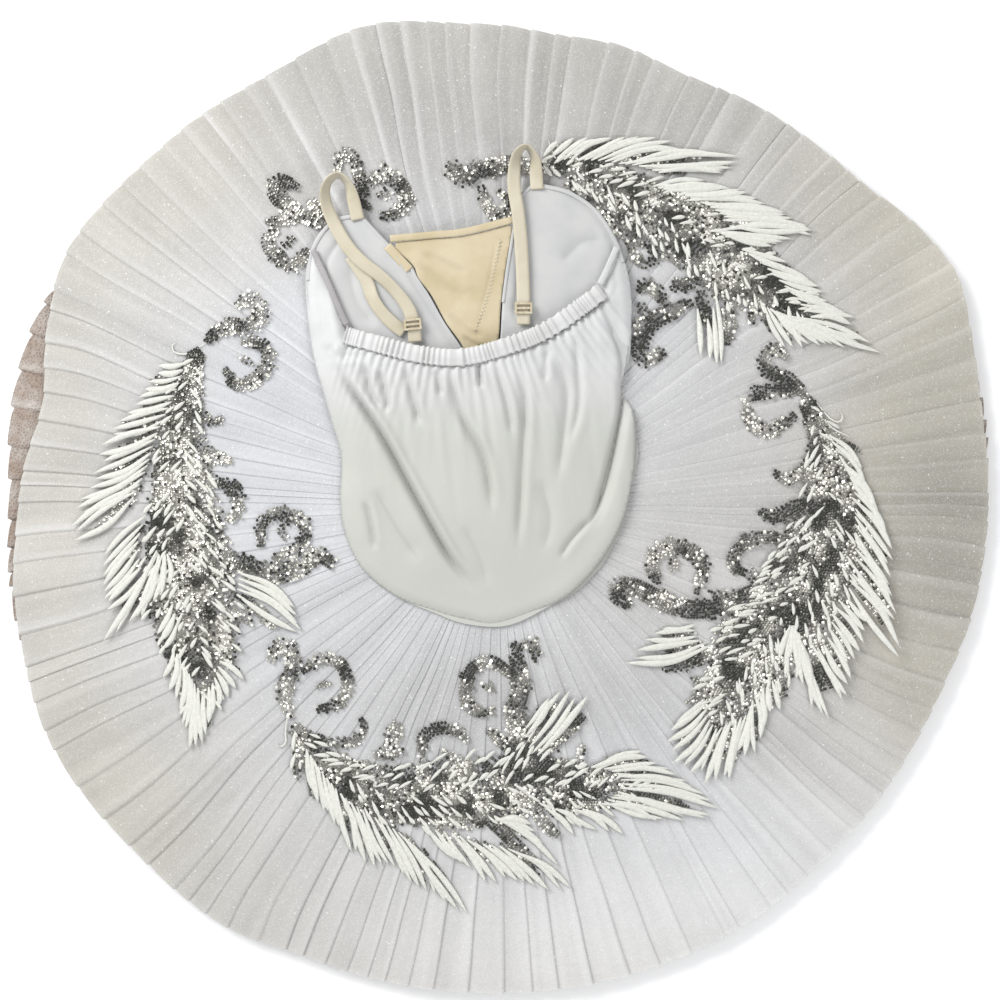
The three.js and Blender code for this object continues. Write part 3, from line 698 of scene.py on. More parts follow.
def pleated_sheet(ring, net):
    """Points of uneven knife pleats between a ring's edges, and each one's fold, angle and outness."""
    random = np.random.RandomState(net["seed"])
    widths = random.uniform(*PLEAT_WIDTHS, PLEATS)
    starts = np.concatenate([[0], np.cumsum(widths)]) / widths.sum() * TURN
    at, height, fold = (np.array([column[key] for column in PLEAT]) for key in ("at", "height", "fold"))
    angles = (starts[:-1, None] + np.diff(starts)[:, None] * at[None, :]).ravel()
    heights, folds = np.tile(height, PLEATS), np.tile(fold, PLEATS)
    pleat = np.repeat(np.arange(PLEATS), len(PLEAT))
    tall = random.uniform(*PLEAT_HEIGHTS, PLEATS)[pleat]
    strong = random.uniform(*FOLD_STRENGTHS, PLEATS)[pleat]
    even = np.linspace(0, 1, net["rows"])[None, :]
    out = ease(even) * 0.35 + even * 0.65
    bend = net["wander"] * soft_noise(angles[:, None] * 5, out * 3.5, net["seed"] + 1) * ease(out * 3)
    turned = angles[:, None] + np.radians(bend)
    inner, outer = ring.edge(ring.inner, turned), ring.edge(ring.outer, turned)
    edge = 1 + (heights[:, None] - 0.6) * net["scallop"] * ease((out - 0.9) * 10)
    radius = inner + (outer - inner) * out * edge
    amount = (net["hip"] + (net["hem"] - net["hip"]) * out) * tall[:, None]
    wave = 1.2 * MM * soft_noise(turned * 9, out * 3, net["seed"] + 2) * ease(out * 2)
    level = ring.inner_z + NET_WALL / 2 + (ring.outer_z - ring.inner_z) * out
    z = level + (heights[:, None] - 0.55) * amount * 1.6 + wave
    x, y = PLATE[0] + radius * np.cos(turned), PLATE[1] + radius * np.sin(turned)
    points = np.stack([x, y, z], -1).reshape(-1, 3)
    fade = 0.55 + 0.45 * soft_noise(pleat[:, None] * 0.7, out * 4, net["seed"] + 3)
    lines = folds[:, None] * strong[:, None] * fade
    return points, lines.ravel(), turned.ravel(), np.tile(out[0], len(angles))


def strength_at(degrees, folds):
    """How strong the painted fold lines of light and shade are at each angle round the plate."""
    peaks = [peak["add"] * np.exp(-((degrees - peak["at"]) / peak["reach"]) ** 2) for peak in folds["peaks"]]
    return folds["base"] + sum(peaks)


def skirt_tones(points, folds, angle, out):
    """Painted fold lines of light and shade, by where round the plate they are, and the warmth and shade of
    each point.
    """
    turned = np.degrees(angle) % 360
    strength = np.where(folds > 0, strength_at(turned, OVERLAP_HIGHLIGHT_FOLDS), strength_at(turned, CREASE_SHADE_FOLDS))
    near_hip = 1 - 0.35 * ease(1 - out * 4)
    spot = (points[:, :2] - PLATE) / MM
    warmth = 0.15 + 0.45 * ease((out - 0.35) * 1.5)
    shade = 1.02 - 0.05 * ease((out - 0.5) * 2)
    for patch in PATCHES:
        across = (spot[:, 0] - patch["x"]) / patch["w"]
        up = (spot[:, 1] - patch["y"]) / patch["h"]
        reach = np.exp(-across ** 2 - up ** 2)
        warmth += patch["warmth"] * reach
        shade += patch["shade"] * reach
    for streak in STREAKS:
        shade += streak["add"] * soft_noise(angle * streak["around"], out * streak["out"], streak["seed"])
    shade += HEM_GLOW * ease((out - 0.985) * 60)
    return {"fold": folds * strength * near_hip, "warmth": np.clip(warmth, 0, 1), "shade": shade}


def make_skirt():
    rows = TOP_NET["rows"]
    points, folds, angle, out = pleated_sheet(SKIRT, TOP_NET)
    faces = grid_faces(len(points) // rows, rows, closed_rows=True)
    top = add_piece("skirt_top_net", points, faces[:, ::-1], GLITTER_NET, ["skirt_top"],
                    skirt_tones(points, folds, angle, out))
    rows = LONG_NET["rows"]
    points, folds, _, _ = pleated_sheet(Ring("net_long"), LONG_NET)
    faces = grid_faces(len(points) // rows, rows, closed_rows=True)
    under = add_piece("net_long_cloth", points, faces[:, ::-1], TAUPE_NET, ["net_long"],
                      {"fold": np.clip(folds, 0, 1)})


# Plain rings: their look, how deep they ripple in millimetres, and the width and area of the
# cloth they are cut from, in metres.
RINGS = {
    "net_layer_1": {"look": WHITE_NET, "slot": "white_net", "ripple": 0.25, "flat": 0.66, "area": 0.29},
    "net_layer_2": {"look": WHITE_NET, "slot": "white_net", "ripple": 0.45, "flat": 0.80, "area": 0.45},
    "net_layer_3": {"look": WHITE_NET, "slot": "white_net", "ripple": 0.45, "flat": 0.884, "area": 0.56},
    "hip_yoke": {"look": SATIN, "slot": "stretch_satin", "ripple": 0.0, "flat": 0.32, "area": 0.035},
}
RING_COLUMNS = 360
RING_ROWS = 7
RIPPLES = 64        # round a ring


def make_rings():
    """Short nets, gently gathered, and the smooth hip yoke."""
    angle = np.linspace(0, TURN, RING_COLUMNS, endpoint=False)[:, None]
    out = np.linspace(0, 1, RING_ROWS)[None, :]
    faces = grid_faces(RING_COLUMNS, RING_ROWS, closed_rows=True)[:, ::-1]
    for number, (node, cut) in enumerate(RINGS.items()):
        ring = Ring(node)
        inner, outer = ring.edge(ring.inner, angle), ring.edge(ring.outer, angle)
        radius = inner + (outer - inner) * out
        wave = np.sin(angle * RIPPLES + 3 * soft_noise(angle * 6, out * 0, 60 + number))
        z = ring.inner_z + (ring.outer_z - ring.inner_z) * out + cut["ripple"] * MM * wave * out
        x, y = PLATE[0] + radius * np.cos(angle), PLATE[1] + radius * np.sin(angle)
        points = np.stack([x, y, z], -1).reshape(-1, 3)
        # Low at 1 gives the satin hip yoke the full painted lower shade.
        piece = add_piece(node + "_cloth", points, faces, cut["look"], [node],
                          {"low": np.ones(len(points))})


# ---- Bodice ----------------------------------------------------------------------------------
BACK_OUTLINE = [
    [(-186, 254), (-191, 220), (-184, 154), (-166, 88), (-155, 48), (-156, 5), (-151, -28), (-134, -62),
     (-101, -89), (-63, -104), (-32, -112), (-4, -116), (36, -103), (69, -86), (99, -54), (121, -14),
     (131, 28), (134, 66), (131, 94), (121.5, 113), (124.5, 130), (129, 150), (130.5, 187), (129, 220),
     (118, 254)],
    [(118, 254), (103, 222)],
    [(103, 222), (101, 203), (93, 195), (51.5, 167), (9, 151), (-37, 140), (-75, 143), (-112, 152),
     (-146, 160)],
    [(-146, 160), (-152, 178), (-169, 222), (-182, 255)],
]
# Creases of the slack back: a line, its depth, its half width, and how far its left lip stands up.
CREASE_SHARP = 0.66     # every crease's width is this share of its table's
CREASE_DEEP = 1.25      # and its depth this many times its table's
DEEPEST_CREASE = 7.0    # a crease this deep has a full painted shade line
CREASE_SHADE_REACH = 1.9 * MM
LOW_SHADE_FROM = 165          # where the satin's painted lower shade, darker and warmer, begins, and how far it takes
LOW_SHADE_OVER = 120
CLOTH_STEP = 2.0 * MM
CLOTH_THICK = 0.9 * MM
BACK_DROP = 3.4 * MM    # how far the back's edge falls, and over how wide a band
DROP_REACH = 11 * MM
BACK_CREASES = [
    {"line": [(-160, 140), (-149.5, 121), (-116, 71), (-83, 11), (-50, -48), (-24, -82)],
     "depth": 9, "width": 5.5, "lip": 4},
    {"line": [(-133, 6), (-127, -12), (-122, -44)], "depth": 3, "width": 5, "lip": 1},
    {"line": [(-123, 18), (-100, -22), (-77, -55)], "depth": 2.5, "width": 13, "lip": 0},
    {"line": [(-133, 141), (-126, 111), (-116, 94)], "depth": 4, "width": 5, "lip": 1.5},
    {"line": [(-118, 134), (-110, 104), (-113, 91)], "depth": 3.5, "width": 5, "lip": 1},
    {"line": [(-93, 137), (-86.5, 111), (-77, 78)], "depth": 4, "width": 5.5, "lip": 1.5},
    {"line": [(-63, 134), (-57, 107)], "depth": 3, "width": 5, "lip": 1},
    {"line": [(-50, 134), (-37, 87.5), (-17, 51), (-10, 21), (-7, -9)], "depth": 4.5, "width": 6, "lip": 2},
    {"line": [(-20, 141), (-18.5, 114)], "depth": 4, "width": 4.5, "lip": 1},
    {"line": [(-4, 137), (6, 104), (13, 68)], "depth": 3, "width": 5, "lip": 1},
    {"line": [(20, 137), (25, 104), (23, 54), (18, -45)], "depth": 3.5, "width": 6, "lip": 1.5},
    {"line": [(46, 154), (44.5, 121)], "depth": 2.5, "width": 5, "lip": 1},
    {"line": [(53, 154), (66, 114), (63, 71), (56, 21)], "depth": 3, "width": 8, "lip": 1},
    {"line": [(74, 167), (78, 104), (69, 61)], "depth": 3, "width": 6, "lip": 1},
    {"line": [(97.5, 200), (111, 174), (122, 144), (121, 104), (112.5, 58), (102.5, 18), (93, -9),
              (79, -25)], "depth": 7, "width": 4.5, "lip": -3},
    {"line": [(89, -12), (69, -35), (59, -52)], "depth": 3, "width": 5, "lip": 1},
    {"line": [(39.5, 28), (49.5, -12), (43, -45)], "depth": 2.2, "width": 9, "lip": 0},
    {"line": [(-36, -18), (-20, -50), (-12, -80)], "depth": 1.6, "width": 9, "lip": 0},
]
CASING_LINE = [(-149, 176), (-116, 167), (-77, 157), (-37, 154), (3, 164), (43, 180), (82, 207), (96, 218)]
CASING_WIDTH = 17
FRONT_PIECES = {
    "front_left": {
        "outline": [
            [(-141, 288), (-160, 284), (-176, 271), (-186, 251), (-190, 220), (-183, 176), (-169, 130),
             (-152, 107)],
            [(-152, 107), (-22, 107)],
            [(-22, 107), (-30, 131), (-38, 157), (-55, 181), (-68, 206), (-80, 225), (-86, 237),
             (-101, 251),
             (-116, 266), (-136, 289)],
        ],
        "creases": [
            {"line": [(-134.6, 284), (-106, 254), (-84, 214), (-62, 180), (-43, 150)],
             "depth": -1.6, "width": 3, "lip": 0},
            {"line": [(-152, 270), (-172, 236), (-168, 200)], "depth": 1.6, "width": 5, "lip": 0},
            {"line": [(-150, 240), (-140, 200), (-120, 175)], "depth": 2.0, "width": 10, "lip": 0},
        ],
    },
    "front_right": {
        "outline": [
            [(34, 318), (16.5, 303), (16.5, 286), (12.5, 262), (7.5, 231), (3.5, 200), (1.5, 167),
             (-1.5, 131),
             (-4.5, 107)],
            [(-4.5, 107), (112, 107)],
            [(112, 107), (123, 130), (130, 176), (129, 220), (116, 263), (96, 293), (69, 311), (42, 318)],
        ],
        "creases": [
            {"line": [(45, 314), (70, 306), (93, 288), (110, 262), (122, 222)], "depth": 1.0,
             "width": 2.2, "lip": 0},
            {"line": [(60, 240), (84, 262), (104, 262)], "depth": 1.8, "width": 9, "lip": 0},
            {"line": [(24, 250), (18, 210), (14, 180)], "depth": 1.4, "width": 5, "lip": 0},
        ],
    },
    "neck_insert": {
        "outline": [
            [(-107, 259), (-67, 263), (-33, 266), (14, 278)],
            [(14, 278), (11.5, 262), (6, 231), (2, 200), (0, 167), (-3, 131), (-6, 107)],
            [(-6, 107), (-19.5, 107)],
            [(-19.5, 107), (-27.5, 131), (-35.5, 156.5), (-52, 180.5), (-66, 206.5), (-79, 224),
             (-84, 236), (-98, 250),
             (-107, 259)],
        ],
        "creases": [
            {"line": [(-78, 250), (-55, 240), (-30, 228)], "depth": 1.6, "width": 5, "lip": 0.6},
            {"line": [(-80, 240), (-50, 215), (-28, 205)], "depth": 1.2, "width": 5, "lip": 0.5},
            {"line": [(-50, 190), (-30, 172), (-14, 168)], "depth": 1.4, "width": 4, "lip": 0.5},
            {"line": [(-36, 168), (-22, 158), (-10, 156)], "depth": 1.8, "width": 3, "lip": 0.5},
            {"line": [(-2, 262), (-10, 220), (-22, 176)], "depth": 0.9, "width": 2.0, "lip": 0.5},
        ],
    },
}


def outline_of(sections, step=2.0):
    parts = [smooth_line(section, step)[:-1] for section in sections]
    return placed(np.vstack(parts))


def creased(points, heights, creases):
    """Heights with each crease sunk in, tapered at its ends, with a lip on its left."""
    for crease in creases:
        line = placed(smooth_line(crease["line"], 4.0))
        width = crease["width"] * CREASE_SHARP * MM
        distance, _, share, side = nearest_on(points, line)
        fade = ease(np.minimum(share, 1 - share) * 4 + 0.12)
        heights = heights - crease["depth"] * CREASE_DEEP * MM * np.exp(-(distance / width) ** 1.5) * fade
        signed = distance * side
        heights += crease["lip"] * MM * np.exp(-((signed - 1.9 * width) / (1.3 * width)) ** 2) * fade
    return heights


def crease_shade_at(points, creases):
    """How strongly each point lies in the painted shade line of a crease."""
    dark = np.zeros(len(points))
    for crease in creases:
        line = placed(smooth_line(crease["line"], 4.0))
        distance, _, share, _ = nearest_on(points, line)
        fade = ease(np.minimum(share, 1 - share) * 4 + 0.12)
        strength = min(abs(crease["depth"]) / DEEPEST_CREASE, 1)
        dark = np.maximum(dark, strength * fade * np.exp(-(distance / CREASE_SHADE_REACH) ** 2))
    return dark


def lower_shade_share(points):
    """Share of the painted lower shade: 0 at the casing and above, 1 towards the back point."""
    return ease((LOW_SHADE_FROM - (points[:, 1] - PLATE[1]) / MM) / LOW_SHADE_OVER)


def lay_cloth(name, outline, relief, creases, look, replaced, extra=None, drop=0.0):
    """A cut cloth laid over the CAD's relief, with its creases. extra adds to its heights."""
    points, faces = cut_cloth(outline, CLOTH_STEP)
    heights = creased(points, relief.at(points), creases)
    if drop:
        edge = nearest_on(points, np.vstack([outline, outline[:1]]))[0]
        heights -= drop * np.clip(1 - edge / DROP_REACH, 0, 1) ** 2
    if extra:
        heights += extra(points)
    # The crease shade and the lower shade are painted into the cloth's colour through these values.
    made = add_piece(name, np.column_stack([points, heights]), faces, look, replaced,
                     {"crease_shade": crease_shade_at(points, creases), "low": lower_shade_share(points)})
    facing_up(made)
    solid = made.modifiers.new("cloth thickness", "SOLIDIFY")
    solid.thickness, solid.offset = CLOTH_THICK, -1
    return made


def back_details(points):
    """Gathers that run down from the casing, the crumple at its left end, and slight unevenness."""
    line = placed(smooth_line(CASING_LINE, 4.0))
    distance, _, share, _ = nearest_on(points, line)
    phase = share * 34 * TURN + 2.5 * soft_noise(share * 12, share * 0, 5)
    below = np.maximum(distance - CASING_WIDTH * MM, 0)
    gathers = 1.7 * MM * np.cos(phase) * np.exp(-below / (26 * MM)) * ease(below / (2 * MM) + 0.4)
    spot = (points - PLATE) / MM
    crumple = np.exp(-((spot[:, 0] + 150) / 15) ** 2 - ((spot[:, 1] - 150) / 14) ** 2)
    crumple = crumple * 3.2 * MM * soft_noise(spot[:, 0] / 8, spot[:, 1] / 7, 6)
    uneven = 0.9 * MM * soft_noise(spot[:, 0] / 34, spot[:, 1] / 52, 8)
    pulled = 0.8 * MM * soft_noise(spot[:, 0] / 7 + spot[:, 1] / 60, spot[:, 1] / 90, 11)
    pulled = pulled * ease((spot[:, 1] + 60) / 160)
    return gathers + crumple + uneven + pulled


def round_band(line, width, thick, relief, section=12, lift=0.0):
    """Closed soft band along a line on a relief: rows of points round its section."""
    side = sideways(line)
    turn = np.linspace(0, TURN, section, endpoint=False)
    across = np.sign(np.cos(turn)) * np.abs(np.cos(turn)) ** 0.75 / 2
    rise = np.sign(np.sin(turn)) * np.abs(np.sin(turn)) ** 0.8 / 2
    xy = line[:, None, :2] + side[:, None, :] * (across[None, :, None] * width)
    base = relief.at(xy.reshape(-1, 2)).reshape(xy.shape[:2]) + lift
    z = base + thick / 2 + rise[None, :] * thick
    return np.concatenate([xy, z[..., None]], -1), across, rise


def make_casing(relief):
    """Elastic casing: a full soft tube drawn up into small uneven gathers, with its seam."""
    centre = smooth_line(CASING_LINE, 1.0)
    centre = placed(centre - sideways(centre) * CASING_WIDTH / 2)
    line = resampled(centre, 340)
    points, across, rise = round_band(line, CASING_WIDTH * MM, 4.6 * MM, relief, 18, lift=-1.6 * MM)
    share = np.linspace(0, 1, len(line))
    phase = share * 48 * TURN + 7.0 * soft_noise(share * 18, share * 0, 9)
    strength = 0.8 + 0.6 * soft_noise(share * 30, share * 0, 10)
    gather = np.cos(phase + 0.6) * strength
    top = np.clip(rise * 2, 0, 1)
    points[..., 2] += gather[:, None] * top[None, :] * 1.15 * MM
    seam = np.exp(-((across + 0.30) / 0.05) ** 2) * top
    points[..., 2] -= seam[None, :] * 0.9 * MM
    spread = 1.6 * MM * gather[:, None] * across[None, :]
    points[..., :2] += sideways(line)[:, None, :] * spread[..., None]
    faces = tube_faces(len(line), len(across))
    return add_piece("back_casing_gathered", points.reshape(-1, 3), faces, CASING_SATIN,
                     ["back_casing"])


def make_bodice():
    back = Relief(["bodice_side_left", "bodice_back", "bodice_side_right"])
    front = Relief(["front_left", "front_right", "neck_insert"])
    casing = make_casing(back)
    cloth = lay_cloth("bodice_back_cloth", outline_of(BACK_OUTLINE), back, BACK_CREASES, SATIN,
                      ["bodice_back", "bodice_side_left", "bodice_side_right"],
                      back_details, BACK_DROP)
    looks = {"front_left": LINING, "front_right": LINING, "neck_insert": NUDE}
    for name, cut in FRONT_PIECES.items():
        piece = lay_cloth(name + "_cloth", outline_of(cut["outline"]), front, cut["creases"], looks[name],
                          [name])
    return back, front


# Narrow bound edges: centre line, width and thickness, which relief they lie on, and their lift.
BINDINGS = [
    {"name": "insert_binding", "line": [(-107, 263), (-67, 266.5), (-33, 270), (14.5, 282)],
     "width": 7, "thick": 1.8, "on": "front", "lift": 0.4, "look": "nude", "slot": "nude_mesh"},
    {"name": "armhole_binding_left", "line": [(-183, 252), (-169, 222), (-155, 190), (-149, 178)],
     "width": 6, "thick": 2.2, "on": "back", "lift": -0.6, "look": "shaded", "slot": "stretch_satin"},
    {"name": "armhole_binding_right", "line": [(116, 255), (106, 232), (99, 218)],
     "width": 6, "thick": 2.2, "on": "back", "lift": -0.2, "look": "satin", "slot": "stretch_satin"},
]
BAND_STEP = 1.6         # between the sections of a band
CUP_EDGE_LIFT = -0.5
CUP_EDGES = [
    {"name": "cup_edge_left", "line": [(-138, 287), (-118, 266), (-103, 251), (-88, 236), (-82, 225),
                                       (-69, 205),
                                       (-55, 180), (-38, 155)], "width": 3.2, "thick": 1.5},
    {"name": "cup_edge_left_outer", "line": [(-142, 286), (-160, 282), (-174, 270), (-184, 251),
                                             (-188, 222)],
     "width": 4.2, "thick": 1.7},
    {"name": "cup_edge_right", "line": [(42, 316), (69, 309), (95, 291), (114, 262), (122, 240)],
     "width": 4.2, "thick": 1.7},
    {"name": "cup_edge_right_inner", "line": [(33, 316), (18, 301), (17, 286), (13, 262), (8, 231),
                                              (4, 200)],
     "width": 3.2, "thick": 1.5},
]


def band_piece(name, line, width, thick, relief, lift, look, replaced=()):
    curve = smooth_line(line, 1.5)
    count = max(10, int(line_length(curve) / BAND_STEP))
    line = resampled(placed(curve), count)
    points, _, _ = round_band(line, width * MM, thick * MM, relief, lift=lift * MM)
    faces = tube_faces(*points.shape[:2])
    return add_piece(name, points.reshape(-1, 3), faces, look, replaced)


def make_bindings(back, front):
    looks = {"nude": NUDE, "satin": SATIN, "shaded": SHADED_SATIN}
    for edge in BINDINGS:
        relief = {"back": back, "front": front}[edge["on"]]
        band_piece(edge["name"] + "_cloth", edge["line"], edge["width"], edge["thick"], relief, edge["lift"],
                   looks[edge["look"]], [edge["name"]])
    for edge in CUP_EDGES:
        band_piece(edge["name"], edge["line"], edge["width"], edge["thick"], front, CUP_EDGE_LIFT, LINING)


# ---- Straps ----------------------------------------------------------------------------------
# Route over the deck of front panels: place, lift over it, and how far it is turned on its edge.
STRAPS = {
    "strap_left": [
        (-139, 282, 1.6, 0), (-143, 300, 3, -10), (-148, 316, 7, -55), (-158, 325, 9, -70),
        (-168, 318, 9, -60),
        (-171, 304, 8, -40), (-165, 284, 7, -15), (-150, 257, 6.5, 0), (-134, 239, 6.5, 10),
        (-116, 225, 6.5, 25),
        (-100, 209, 6.5, 25), (-88, 192, 6, 10), (-84, 177, 5.5, 0), (-82, 161, 5.2, 0),
    ],
    "strap_left_return": [
        (-146, 246, 2.4, 0), (-131, 223, 2.2, 0), (-124, 204, 3.6, 15), (-115, 190, 4.4, 20),
        (-103, 178, 3.8, 10),
        (-93, 171, 3, 0),
    ],
    "strap_right": [
        (37.5, 312, 1.6, 0), (36.5, 328, 2.2, -10), (35, 343, 6, -55), (27, 353, 8.5, -75),
        (18, 346, 8.5, -55),
        (15, 330, 7, -20), (15, 311, 6, 0), (19, 286, 5, 0), (22, 253, 4.5, 0), (23.5, 220, 4.2, 0),
        (24, 195, 4.2, 0), (24, 178, 4.2, 0),
    ],
}
STRAP_WIDTH = 13
STRAP_THICK = 1.3
# Section of the elastic: across in half widths, up in thicknesses.
RIBBON_SECTION = [(-1, 0), (-0.97, 0.45), (-0.6, 0.5), (0, 0.5), (0.6, 0.5), (0.97, 0.45),
                  (1, 0), (0.97, -0.45), (0, -0.5), (-0.97, -0.45)]


def make_straps(front):
    """Flat elastic ribbons that turn on their edge where they loop over."""
    across, rise = np.array(RIBBON_SECTION).T
    for name, route in STRAPS.items():
        fine = smooth_line(route, 2.0)
        line = placed(fine)
        base = front.at(line) + fine[:, 2] * MM
        roll = np.radians(fine[:, 3])
        side = sideways(line)
        flat = across[None, :] * STRAP_WIDTH / 2 * MM
        thick = rise[None, :] * STRAP_THICK * MM
        out = flat * np.cos(roll)[:, None] - thick * np.sin(roll)[:, None]
        up = flat * np.sin(roll)[:, None] + thick * np.cos(roll)[:, None]
        xy = line[:, None, :2] + side[:, None, :] * out[..., None]
        points = np.concatenate([xy, (base[:, None] + up)[..., None]], -1)
        faces = tube_faces(len(line), len(across))
        add_piece(name + "_ribbon", points.reshape(-1, 3), faces, ELASTIC, [name],
                  {"across": np.tile(across, len(line))})


ZIGZAG_LINE = [(2, 262), (-6, 226), (-14, 196), (-24, 170)]
ZIGZAG_REACH = 1.3
THREAD = 0.6
FLAP = {"line": [(-110, 256), (-98, 243), (-88, 232)], "width": 9, "thick": 1.4, "lift": 0.2}


def make_stitching(front):
    """Zigzag seam down the right of the insert, one raised thread, and the loose flap at its left."""
    line = smooth_line(ZIGZAG_LINE, 2.0)
    swing = np.where(np.arange(len(line)) % 2, 1, -1)[:, None] * ZIGZAG_REACH
    route = line + sideways(line) * swing
    fine = np.vstack([np.linspace(a, b, 4, endpoint=False) for a, b in zip(route[:-1], route[1:])])
    points, across, _ = round_band(placed(fine), THREAD * MM, THREAD * MM, front, section=6)
    faces = grid_faces(len(fine), len(across), closed_columns=True)
    add_piece("insert_zigzag", points.reshape(-1, 3), faces, ELASTIC, [],
              {"across": np.tile(across, len(fine))})
    flap = smooth_line(FLAP["line"], 2.0)
    points, across, _ = round_band(placed(flap), FLAP["width"] * MM, FLAP["thick"] * MM, front,
                                   lift=FLAP["lift"] * MM)
    faces = tube_faces(len(flap), len(across))
    add_piece("insert_flap", points.reshape(-1, 3), faces, NUDE)


def finish_carried_nodes():
    """Looks for the sliders and the knickers, which keep their CAD shapes."""
    for name, look in (("slider_left", SLIDER), ("slider_right", SLIDER),
                       ("knickers_back", SATIN), ("knickers_front", SATIN)):
        data = NODES[name].data
        data.materials.clear()
        data.materials.append(look)


